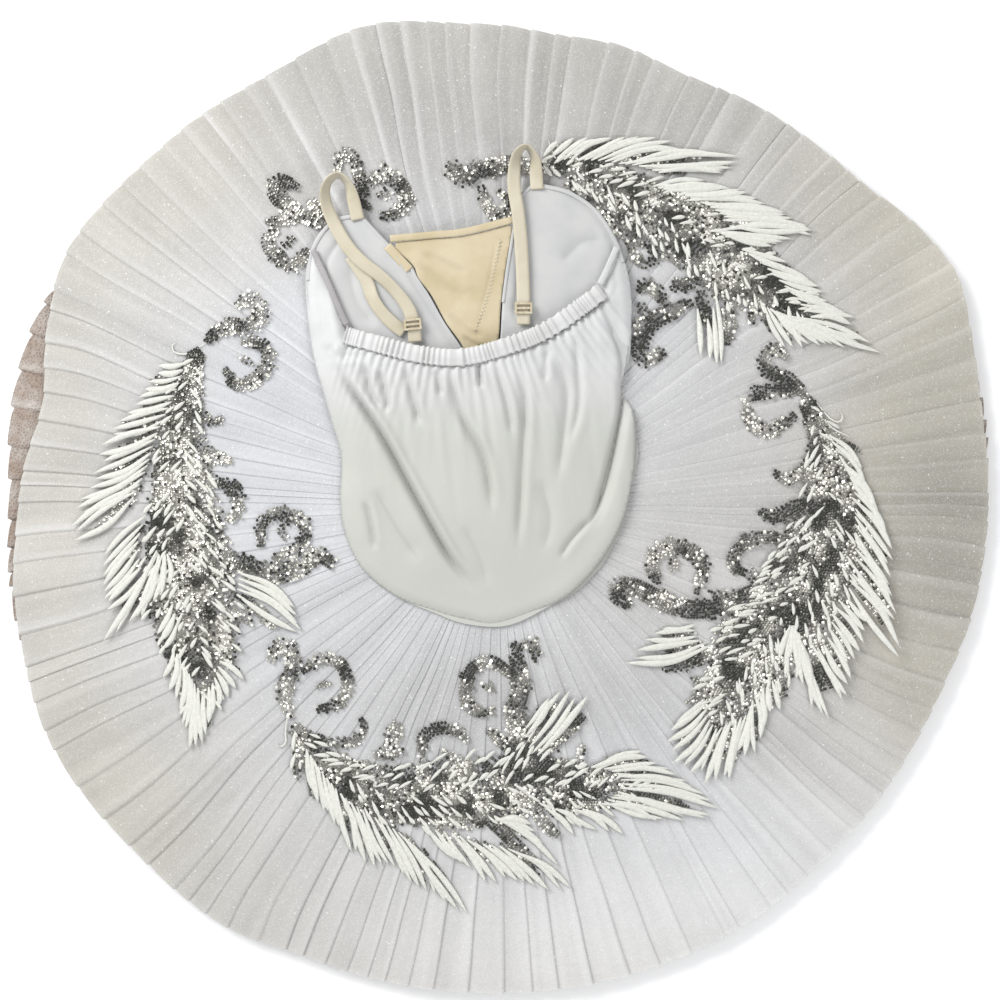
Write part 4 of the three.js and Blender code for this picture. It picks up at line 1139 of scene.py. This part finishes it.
# ---- Feather and scroll trim -----------------------------------------------------------------
# Each applique is made of four kinds of strokes. scrolls: lines filled with rows of sequins, of
# the given width. combs: feathers from a root line to a tip line. tendrils: thin stitched lines.
# spine: its middle line with the half width that sequins and short stitches fill.
TRIM = {
    "applique_left": {
        "spine": [(-298, 156, 9), (-310, 96, 22), (-312, 36, 36), (-309, -24, 46), (-304, -84, 44),
                  (-295, -144, 30), (-294, -183, 18)],
        "scrolls": [
            {"line": [(-259, 198), (-247, 206), (-235, 192), (-247, 177), (-271, 177), (-289, 162)],
             "width": 15},
            {"line": [(-253, 162), (-232, 159), (-229, 138), (-241, 123), (-259, 120), (-271, 135)],
             "width": 13},
            {"line": [(-256, 147), (-244, 141)], "width": 8},
            {"line": [(-304, 117), (-295, 96), (-283, 84), (-273, 86)], "width": 9},
            {"line": [(-295, 54), (-277, 48), (-264, 45)], "width": 13},
            {"line": [(-295, 21), (-274, 24), (-259, 12), (-258, -6), (-268, -15)], "width": 13},
            {"line": [(-280, -6), (-274, -33)], "width": 9},
            {"line": [(-235, -39), (-235, -18), (-217, -7), (-199, -12), (-190, -24), (-199, -42),
                      (-223, -51)],
             "width": 13},
            {"line": [(-214, -12), (-211, -33)], "width": 9},
            {"line": [(-281, -44), (-247, -60), (-223, -66), (-199, -60), (-181, -48), (-163, -57)],
             "width": 19},
            {"line": [(-340, -72), (-356, -86), (-372, -99)], "width": 9},
            {"line": [(-319, -96), (-338, -111)], "width": 9},
            {"line": [(-259, -87), (-240, -100), (-223, -120)], "width": 9},
            {"line": [(-262, -95), (-244, -117)], "width": 9},
            {"line": [(-294, -160), (-296, -187)], "width": 15},
            {"line": [(-330, 80), (-352, 72), (-372, 84)], "width": 8},
            {"line": [(-312, 132), (-328, 130), (-343, 122)], "width": 7},
        ],
        "combs": [
            {"roots": [(-310, 141), (-319, 114), (-331, 87), (-340, 66), (-349, 36), (-361, 9)],
             "tips": [(-336, 139), (-375, 84), (-390, 66), (-399, 36), (-417, -1),
                      (-427, -39)], "count": 17},
            {"roots": [(-350, -10), (-357, -40), (-352, -69)],
             "tips": [(-397, -55), (-391, -76), (-394, -109)], "count": 6},
            {"roots": [(-338, -44), (-334, -50), (-328, -47)],
             "tips": [(-391, -133), (-367, -121), (-346, -102), (-325, -84)], "count": 6},
            {"roots": [(-322, -96), (-318, -116)], "tips": [(-340, -131), (-332, -142)], "count": 2},
            {"roots": [(-321, -141), (-310, -159), (-297, -180), (-284, -176), (-276, -153)],
             "tips": [(-334, -174), (-318, -198), (-310, -232), (-296, -251), (-283, -207), (-262, -186),
                      (-251, -172)],
             "count": 12},
            {"roots": [(-256, -66), (-259, -87)], "tips": [(-199, -102), (-196, -118), (-190, -130)],
             "count": 4},
        ],
        "tendrils": [
            [(-289, 162), (-307, 151), (-321, 152), (-323, 160), (-318, 162)],
        ],
    },
    "applique_back": {
        "spine": [(-203, -215, 9), (-185, -246, 18), (-140, -272, 28), (-104, -282, 34), (-59, -284, 36),
                  (-14, -282, 36), (25, -273, 34), (61, -279, 26), (97, -280, 20), (136, -282, 8)],
        "scrolls": [
            {"line": [(-226, -153), (-218, -137), (-206, -141), (-203, -162), (-212, -182), (-206, -208)],
             "width": 15},
            {"line": [(-194, -163), (-176, -151), (-158, -154), (-149, -174), (-156, -193), (-179, -201)],
             "width": 12},
            {"line": [(-180, -177), (-167, -173)], "width": 8},
            {"line": [(-195, -222), (-161, -234), (-143, -231), (-133, -219), (-137, -211)], "width": 9},
            {"line": [(-110, -240), (-100, -214)], "width": 14},
            {"line": [(-122, -246), (-95, -240)], "width": 12},
            {"line": [(-77, -250), (-74, -228), (-59, -219), (-41, -222), (-32, -231)], "width": 12},
            {"line": [(-56, -243), (-35, -254)], "width": 9},
            {"line": [(22, -275), (19, -234), (16, -204), (22, -174), (16, -148), (19, -135)], "width": 18},
            {"line": [(23, -138), (35, -135), (36, -153)], "width": 10},
            {"line": [(12, -168), (-8, -153), (-26, -161), (-33, -183), (-26, -200), (-5, -202)],
             "width": 13},
            {"line": [(-17, -174), (-5, -182)], "width": 8},
            {"line": [(-10, -222), (16, -243)], "width": 11},
            {"line": [(82, -237), (79, -255)], "width": 7},
            {"line": [(-201, -215), (-199, -270)], "width": 7},
            {"line": [(-190, -250), (-183, -288)], "width": 6},
            {"line": [(40, -245), (64, -225), (83, -207)], "width": 11},
            {"line": [(-20, -300), (12, -330), (36, -356)], "width": 12},
            {"line": [(30, -290), (46, -315), (58, -325)], "width": 11},
            {"line": [(-112, -312), (-92, -346)], "width": 10},
            {"line": [(118, -272), (143, -284)], "width": 9},
        ],
        "combs": [
            {"roots": [(-190, -240), (-172, -266), (-150, -290), (-122, -308), (-100, -322), (-84, -336)],
             "tips": [(-184, -288), (-159, -321), (-143, -345), (-130, -354), (-104, -363), (-76, -384),
                      (-58, -393),
                      (-32, -402)], "count": 17},
            {"roots": [(-71, -318), (-44, -324), (-23, -333), (1, -336), (16, -342)],
             "tips": [(-41, -351), (-11, -372), (5, -369), (22, -372), (44, -381), (73, -379)], "count": 9},
            {"roots": [(-5, -306), (-3, -311)], "tips": [(58, -355), (47, -336), (40, -321), (25, -306)],
             "count": 5},
            {"roots": [(46, -298), (67, -300), (85, -300)], "tips": [(76, -327), (89, -321), (124, -325)],
             "count": 4},
            {"roots": [(100, -294), (115, -285), (121, -270), (109, -261), (91, -258)],
             "tips": [(163, -313), (193, -310), (221, -303), (196, -278), (175, -262), (148, -241),
                      (136, -240)],
             "count": 13},
            {"roots": [(26, -220), (31, -243), (38, -246)], "tips": [(49, -190), (67, -177), (91, -183)],
             "count": 5},
        ],
        "tendrils": [
            [(-209, -207), (-211, -222), (-211, -234), (-217, -238), (-221, -232)],
        ],
    },
    "applique_right": {
        "spine": [(302, 109, 9), (313, 80, 14), (320, 51, 22), (324, 17, 34), (320, -21, 44),
                  (308, -58, 44),
                  (294, -87, 44), (273, -115, 46), (254, -144, 38), (233, -173, 28), (218, -201, 20)],
        "scrolls": [
            {"line": [(284, 147), (272, 156), (263, 146), (268, 131), (285, 127), (302, 109)], "width": 13},
            {"line": [(299, 114), (273, 114), (249, 116)], "width": 10},
            {"line": [(285, 110), (262, 109), (239, 105)], "width": 6},
            {"line": [(245, 100), (247, 86), (262, 75), (278, 80), (292, 90)], "width": 14},
            {"line": [(311, 54), (302, 37), (288, 27), (277, 28), (273, 35)], "width": 10},
            {"line": [(302, 5), (279, -9), (257, -8)], "width": 14},
            {"line": [(285, -32), (262, -31), (245, -35), (232, -48), (233, -61), (243, -66)], "width": 13},
            {"line": [(253, -78), (250, -61)], "width": 8},
            {"line": [(279, -92), (245, -92), (210, -101), (181, -101), (158, -92), (135, -81), (118, -79),
                      (115, -89), (129, -97)], "width": 17},
            {"line": [(156, -76), (150, -54), (167, -39), (187, -44), (201, -59), (196, -86)], "width": 14},
            {"line": [(173, -46), (170, -64)], "width": 9},
            {"line": [(207, -84), (227, -89), (252, -80)], "width": 9},
            {"line": [(302, -110), (312, -140), (325, -180)], "width": 20},
            {"line": [(219, -144), (190, -154), (162, -161)], "width": 12},
            {"line": [(213, -176), (187, -196)], "width": 11},
            {"line": [(206, -178), (190, -170)], "width": 8},
            {"line": [(267, -150), (282, -188)], "width": 11},
            {"line": [(239, -173), (257, -199)], "width": 14},
            {"line": [(220, -190), (218, -215), (209, -244)], "width": 17},
            {"line": [(330, 72), (345, 60), (356, 54)], "width": 8},
            {"line": [(340, -20), (356, -48), (368, -78)], "width": 13},
        ],
        "combs": [
            {"roots": [(325, 71), (339, 45), (351, 17), (352, -18), (352, -46), (348, -64), (346, -81)],
             "tips": [(360, 36), (372, 2), (388, -32), (389, -60), (389, -87), (396, -116), (394, -148)],
             "count": 16},
            {"roots": [(345, -92), (331, -98), (328, -121), (319, -140), (308, -136)],
             "tips": [(368, -118), (356, -150), (348, -158), (348, -176), (344, -200)], "count": 8},
            {"roots": [(292, -118), (288, -118)],
             "tips": [(331, -224), (313, -204), (302, -187), (285, -173), (276, -153)], "count": 7},
            {"roots": [(270, -173), (253, -187), (246, -205), (230, -212), (216, -220), (207, -207),
                       (203, -190)],
             "tips": [(278, -203), (266, -210), (256, -244), (234, -249), (226, -273), (209, -283),
                      (196, -267),
                      (178, -265), (163, -233), (172, -217)], "count": 16},
            {"roots": [(193, -117), (196, -130), (210, -137)],
             "tips": [(158, -121), (140, -132), (137, -147), (124, -155)], "count": 5},
        ],
        "tendrils": [
            [(311, 106), (326, 88), (336, 83), (340, 89), (335, 95)],
            [(313, 94), (330, 77), (348, 68)],
        ],
    },
    "applique_front_right": {
        "spine": [(41, 339, 9), (73, 334, 16), (105, 320, 25), (140, 301, 33), (170, 283, 36),
                  (199, 263, 36),
                  (223, 242, 34), (249, 225, 28), (272, 210, 22), (293, 195, 16), (316, 182, 6)],
        "scrolls": [
            {"line": [(-51, 326), (-44, 337), (-36, 323), (-24, 331), (-6, 336), (14, 338), (44, 332)],
             "width": 17},
            {"line": [(-18, 316), (-12, 298), (0, 284), (8, 300), (0, 311)], "width": 11},
            {"line": [(67, 319), (86, 304), (108, 286), (129, 269), (146, 266), (155, 280)], "width": 17},
            {"line": [(129, 260), (134, 246), (149, 240), (156, 248), (147, 255)], "width": 9},
            {"line": [(146, 255), (164, 251), (178, 239)], "width": 9},
            {"line": [(137, 213), (146, 219), (163, 203)], "width": 13},
            {"line": [(137, 198), (148, 191)], "width": 10},
            {"line": [(190, 201), (170, 192), (152, 181), (140, 163), (143, 145), (163, 152)], "width": 16},
            {"line": [(154, 184), (134, 178)], "width": 12},
            {"line": [(195, 222), (170, 216)], "width": 13},
            {"line": [(199, 212), (203, 193), (208, 175)], "width": 11},
            {"line": [(226, 200), (227, 180), (227, 160)], "width": 14},
            {"line": [(252, 206), (249, 181)], "width": 8},
            {"line": [(258, 197), (270, 175)], "width": 9},
            {"line": [(152, 336), (182, 342)], "width": 8},
            {"line": [(244, 250), (275, 250)], "width": 9},
            {"line": [(298, 190), (322, 178)], "width": 10},
            {"line": [(100, 345), (118, 364)], "width": 8},
        ],
        "combs": [
            {"roots": [(44, 346), (70, 342), (94, 342), (117, 339), (140, 336), (158, 330)],
             "tips": [(61, 364), (117, 367), (146, 368), (182, 358), (212, 351), (232, 348), (255, 338),
                      (221, 330)],
             "count": 14},
            {"roots": [(152, 316), (176, 310), (205, 298), (223, 286), (228, 277)],
             "tips": [(209, 323), (224, 316), (252, 313), (261, 301), (275, 294), (299, 286), (305, 277),
                      (319, 273)],
             "count": 13},
            {"roots": [(217, 273), (219, 270)], "tips": [(319, 273), (300, 263), (275, 257), (252, 257)],
             "count": 6},
            {"roots": [(240, 254), (258, 242), (272, 228), (287, 213), (299, 198), (308, 187)],
             "tips": [(293, 239), (297, 228), (325, 214), (327, 198), (349, 190), (352, 179)], "count": 10},
            {"roots": [(298, 186), (280, 190), (262, 198)],
             "tips": [(385, 149), (375, 161), (352, 154), (322, 157), (299, 153), (284, 154)], "count": 10},
            {"roots": [(196, 195), (208, 185), (214, 210)], "tips": [(199, 148), (211, 144), (220, 132)],
             "count": 3},
        ],
        "tendrils": [
            [(60, 336), (52, 352), (49, 362)],
        ],
    },
    "applique_front_left": {
        "spine": [],
        "scrolls": [
            {"line": [(-199, 316), (-209, 320), (-218, 323), (-222, 314), (-214, 301), (-203, 293),
                      (-188, 284),
                      (-174, 278)], "width": 14},
            {"line": [(-219, 298), (-203, 290)], "width": 9},
            {"line": [(-230, 282), (-205, 285), (-180, 288)], "width": 10},
            {"line": [(-222, 276), (-229, 261), (-220, 247), (-202, 239), (-190, 254)], "width": 13},
            {"line": [(-213, 258), (-204, 266)], "width": 9},
            {"line": [(-188, 302), (-168, 283)], "width": 14},
            {"line": [(-161, 332), (-157, 346), (-150, 349), (-142, 341), (-139, 329), (-135, 316),
                      (-134, 300),
                      (-127, 295)], "width": 12},
            {"line": [(-135, 313), (-124, 325), (-108, 326), (-95, 316), (-92, 301), (-102, 290),
                      (-117, 287)],
             "width": 14},
            {"line": [(-119, 306), (-107, 312)], "width": 10},
            {"line": [(-115, 341), (-115, 329)], "width": 6},
        ],
        "combs": [],
        "tendrils": [],
    },
}
TRIM_LIFT = 1.3 * MM           # sequins above the mean height of the pleats
SEQUIN_SIZE = 1.80 * MM        # radius
SEQUIN_ROW = 2.55              # between rows, along a row, and the least between any two
SEQUIN_STEP = 2.7
SEQUIN_GAP = 2.45
SEQUIN_SIDES = 6
SEQUIN_CUP = 0.35 * MM
SCROLL_FULLNESS = 1.15         # scrolls' widths, in their tables' widths
SEQUIN_PATCH = 15              # how far the painted reflection greys stay alike
GLINT_ABOVE = 0.88             # sequins with more grain get a painted glint, and more of them in bright patches
DULL_BELOW = 0.12              # and those with less grain are painted dark
LEVEL_SHARE = 0.7              # of the sequins lie nearly level
FEATHER_CLOSENESS = 1.3        # feathers for each one that a comb counts
FEATHER_WIDTH = (5.4, 7.6)
DASH_WIDTH = (3.2, 4.8)
DASH_LENGTH = (9, 17)
TENDRIL_WIDTH = 2.0
TIP_LIFT = {"applique_right": 9 * MM}   # how far the loose outer tips stand off the net


def trim_height(points, name):
    """Where the trim lies: over the pleats, its loose tips standing off a little."""
    out = SKIRT.outness(points)
    height = plate_top(points) + pleat_rise(out) + TRIM_LIFT
    return height + TIP_LIFT.get(name, 0.0) * ease((out - 0.66) * 5)


class Sites:
    """Places of sequins that keep their distance from each other."""

    def __init__(self, gap):
        self.gap, self.taken, self.places = gap, {}, []

    def try_add(self, x, y, heading):
        cell = (int(x // self.gap), int(y // self.gap))
        for i in (-1, 0, 1):
            for j in (-1, 0, 1):
                for u, v in self.taken.get((cell[0] + i, cell[1] + j), ()):
                    if (u - x) ** 2 + (v - y) ** 2 < self.gap ** 2:
                        return
        self.taken.setdefault(cell, []).append((x, y))
        self.places.append((x, y, heading))


def sequin_strip(sites, line, width, random):
    """Rows of sequins along a line, its ends rounded and its edge slightly ragged."""
    curve = smooth_line(line, 1.0)
    line = resampled(curve, max(3, int(line_length(curve) / SEQUIN_STEP)))
    side = sideways(line)
    heading = np.arctan2(-side[:, 0], side[:, 1])
    share = np.linspace(0, 1, len(line))
    half = width / 2 * (1 - 0.55 * np.abs(2 * share - 1) ** 3)
    rows = int(width / 2 / SEQUIN_ROW) + 1
    for row in range(-rows, rows + 1):
        for k in range(len(line)):
            offset = row * SEQUIN_ROW + random.uniform(-0.25, 0.25)
            if abs(offset) <= half[k] + random.uniform(-0.8, 0.8):
                x, y = line[k] + side[k] * offset
                sites.try_add(x, y, heading[k])


def fill_spine(sites, spine, random):
    """Sequins over the body of the applique, in rows that slant off its middle line."""
    line = smooth_line(spine, 2.6)
    side = sideways(line)
    along = np.stack([side[:, 1], -side[:, 0]], 1)
    for k, (x, y, half) in enumerate(line):
        for row in range(int(half / SEQUIN_ROW) + 1):
            for sign in (-1, 1):
                offset = row * SEQUIN_ROW
                if offset > half * random.uniform(0.75, 1.05):
                    continue
                place = np.array([x, y]) + side[k] * sign * offset + along[k] * offset * 0.8
                slant = along[k] + sign * side[k]
                sites.try_add(*place, math.atan2(slant[1], slant[0]))


def sequin_reflection_greys(places, grain):
    """Painted reflections: greys that drift in patches, with some sequins painted as glinting and some as
    dull.
    """
    patch = soft_noise(places[:, 0] / SEQUIN_PATCH, places[:, 1] / SEQUIN_PATCH, 81)
    grey = np.clip(0.20 + 0.40 * patch + 0.14 * (grain - 0.5), 0.02, 1)
    bright = grain > GLINT_ABOVE - 0.22 * patch
    return np.where(bright, 1.0, np.where(grain < DULL_BELOW, 0.02, grey))


def add_sequins(name, sites, random):
    """Cupped six-sided discs, each tilted its own way, in one mesh."""
    places = np.array(sites.places)
    count = len(places)
    points = placed(places[:, :2])
    z = trim_height(points, name)
    grey = sequin_reflection_greys(places, random.uniform(0, 1, count))
    level = random.uniform(0, 1, count) < LEVEL_SHARE
    tilt = np.radians(np.where(level, random.uniform(1, 6, count), random.uniform(8, 32, count)))
    toward = random.uniform(0, TURN, count)
    lean = np.stack([np.cos(toward), np.sin(toward)], 1) * np.tan(tilt)[:, None]
    spokes = np.linspace(0, TURN, SEQUIN_SIDES, endpoint=False)[None, :] + places[:, 2:3]
    rim = np.stack([np.cos(spokes), np.sin(spokes)], -1) * SEQUIN_SIZE
    rim = rim * random.uniform(0.9, 1.08, count)[:, None, None]
    rise = (rim * lean[:, None, :]).sum(-1)
    z = z + random.uniform(0.2, 1.2, count) * MM
    rim_points = np.concatenate([points[:, None, :] + rim, z[:, None, None] + rise[..., None]], -1)
    centre = np.concatenate([points, (z - SEQUIN_CUP)[:, None]], -1)[:, None, :]
    vertices = np.concatenate([centre, rim_points], 1).reshape(-1, 3)
    each = SEQUIN_SIDES + 1
    base = (np.arange(count) * each)[:, None]
    k = np.arange(SEQUIN_SIDES)[None, :]
    faces = np.stack([base + 0 * k, base + 1 + k, base + 1 + (k + 1) % SEQUIN_SIDES], -1).reshape(-1, 3)
    add_piece(name + "_sequins", vertices, faces, SEQUIN, [name],
              {"grey": np.repeat(grey, each)}, smooth=False)


class Stitches:
    """Raised stitched strokes, gathered into one mesh."""
    SECTION = [(-1.0, 0.0), (-0.72, 0.62), (-0.22, 0.95), (0.22, 1.0), (0.72, 0.62), (1.0, 0.0),
               (0.0, -0.12)]

    def __init__(self, name):
        self.name, self.vertices, self.faces, self.thread, self.count = name, [], [], [], 0

    def stroke(self, line, width, tall=0.24, lift=0.9, blunt=0.6, steps=12):
        """A tapered ridge along a line. blunt is where along it is widest."""
        line = resampled(smooth_line(line, 2.0), steps)
        share = np.linspace(0, 1, steps)
        before = np.where(share < blunt, 0.25 + 0.75 * np.sin(share / blunt * math.pi / 2), 1)
        swell = before * (1 - (np.maximum(share - blunt, 0) / (1 - blunt)) ** 2.4)
        half = np.maximum(swell * width / 2, 0.12)
        points = placed(line[:, :2])
        side = sideways(line)
        across = np.array(self.SECTION)
        base = trim_height(points, self.name) + lift * MM
        xy = points[:, None, :] + side[:, None, :] * (across[None, :, 0] * half[:, None])[..., None] * MM
        z = base[:, None] + across[None, :, 1] * (half * tall * 2)[:, None] * MM
        grid = np.concatenate([xy, z[..., None]], -1).reshape(-1, 3)
        count = len(self.SECTION)
        self.faces += [[self.count + k for k in face] for face in tube_faces(steps, count)]
        self.vertices.append(grid)
        slanted = np.linspace(0, line_length(line), steps)[:, None] + across[None, :, 0] * half[:, None]
        self.thread.append(slanted.ravel() * MM)
        self.count += len(grid)

    def finish(self):
        add_piece(self.name + "_feathers", np.vstack(self.vertices), self.faces, STITCH,
                  [self.name], {"thread": np.concatenate(self.thread)})


def comb_feathers(stitches, sites, comb, random):
    """Feathers from the root line to the tip line, uneven, with sequin strips between some."""
    count = round(comb["count"] * FEATHER_CLOSENESS)
    roots = resampled(smooth_line(comb["roots"], 2.0), count)
    tips = resampled(smooth_line(comb["tips"], 2.0), count)
    for k in range(count):
        root, tip = roots[k], tips[k]
        reach = tip - root
        length = np.hypot(*reach)
        tip = root + reach * random.uniform(0.84, 1.03)
        normal = np.array([-reach[1], reach[0]]) / (length + 1e-9)
        middle = (root + tip) / 2 + normal * length * random.uniform(-0.05, 0.10)
        stitches.stroke([root, middle, tip], random.uniform(*FEATHER_WIDTH), lift=random.uniform(0.8, 1.6),
                        steps=14)
        if k % 2 and count > 5:
            near = root + normal * 2.5
            far = root + reach * random.uniform(0.5, 0.78) + normal * 2.5
            sequin_strip(sites, [near, far], random.uniform(6, 8), random)


def spine_dashes(stitches, spine, random):
    """Short ivory stitches that slant off the middle line on both sides."""
    line = smooth_line(spine, 11.0)
    side = sideways(line)
    along = np.stack([side[:, 1], -side[:, 0]], 1)
    for k, (x, y, half) in enumerate(line):
        offset = 1.5
        while offset < half * 0.92:
            for sign in (-1, 1):
                if random.uniform() < 0.45:
                    continue
                slide = random.uniform(-3, 3)
                root = np.array([x, y]) + side[k] * sign * offset + along[k] * (offset * 0.8 + slide)
                heading = along[k] * random.uniform(0.7, 1.1) + side[k] * sign * random.uniform(0.5, 0.9)
                tip = root + heading * random.uniform(*DASH_LENGTH)
                middle = (root + tip) / 2 + side[k] * sign * 0.6
                stitches.stroke([root, middle, tip], random.uniform(*DASH_WIDTH),
                                lift=random.uniform(0.8, 1.3), steps=7)
            offset += random.uniform(8.0, 12.0)


def make_trim():
    """Every applique's sequins and stitches, each from its own seed."""
    for number, (name, parts) in enumerate(TRIM.items()):
        random = np.random.RandomState(100 + number)
        sites, stitches = Sites(SEQUIN_GAP), Stitches(name)
        for scroll in parts["scrolls"]:
            sequin_strip(sites, scroll["line"], scroll["width"] * SCROLL_FULLNESS, random)
        for comb in parts["combs"]:
            comb_feathers(stitches, sites, comb, random)
        if parts["spine"]:
            fill_spine(sites, parts["spine"], random)
            spine_dashes(stitches, parts["spine"], random)
        for tendril in parts["tendrils"]:
            stitches.stroke(tendril, TENDRIL_WIDTH, lift=0.2, steps=16)
        add_sequins(name, sites, random)
        if stitches.vertices:
            stitches.finish()


set_camera()
set_lights()
lay_floor()
make_skirt()
make_trim()
make_rings()
BACK_RELIEF, FRONT_RELIEF = make_bodice()
make_bindings(BACK_RELIEF, FRONT_RELIEF)
make_straps(FRONT_RELIEF)
make_stitching(FRONT_RELIEF)
finish_carried_nodes()
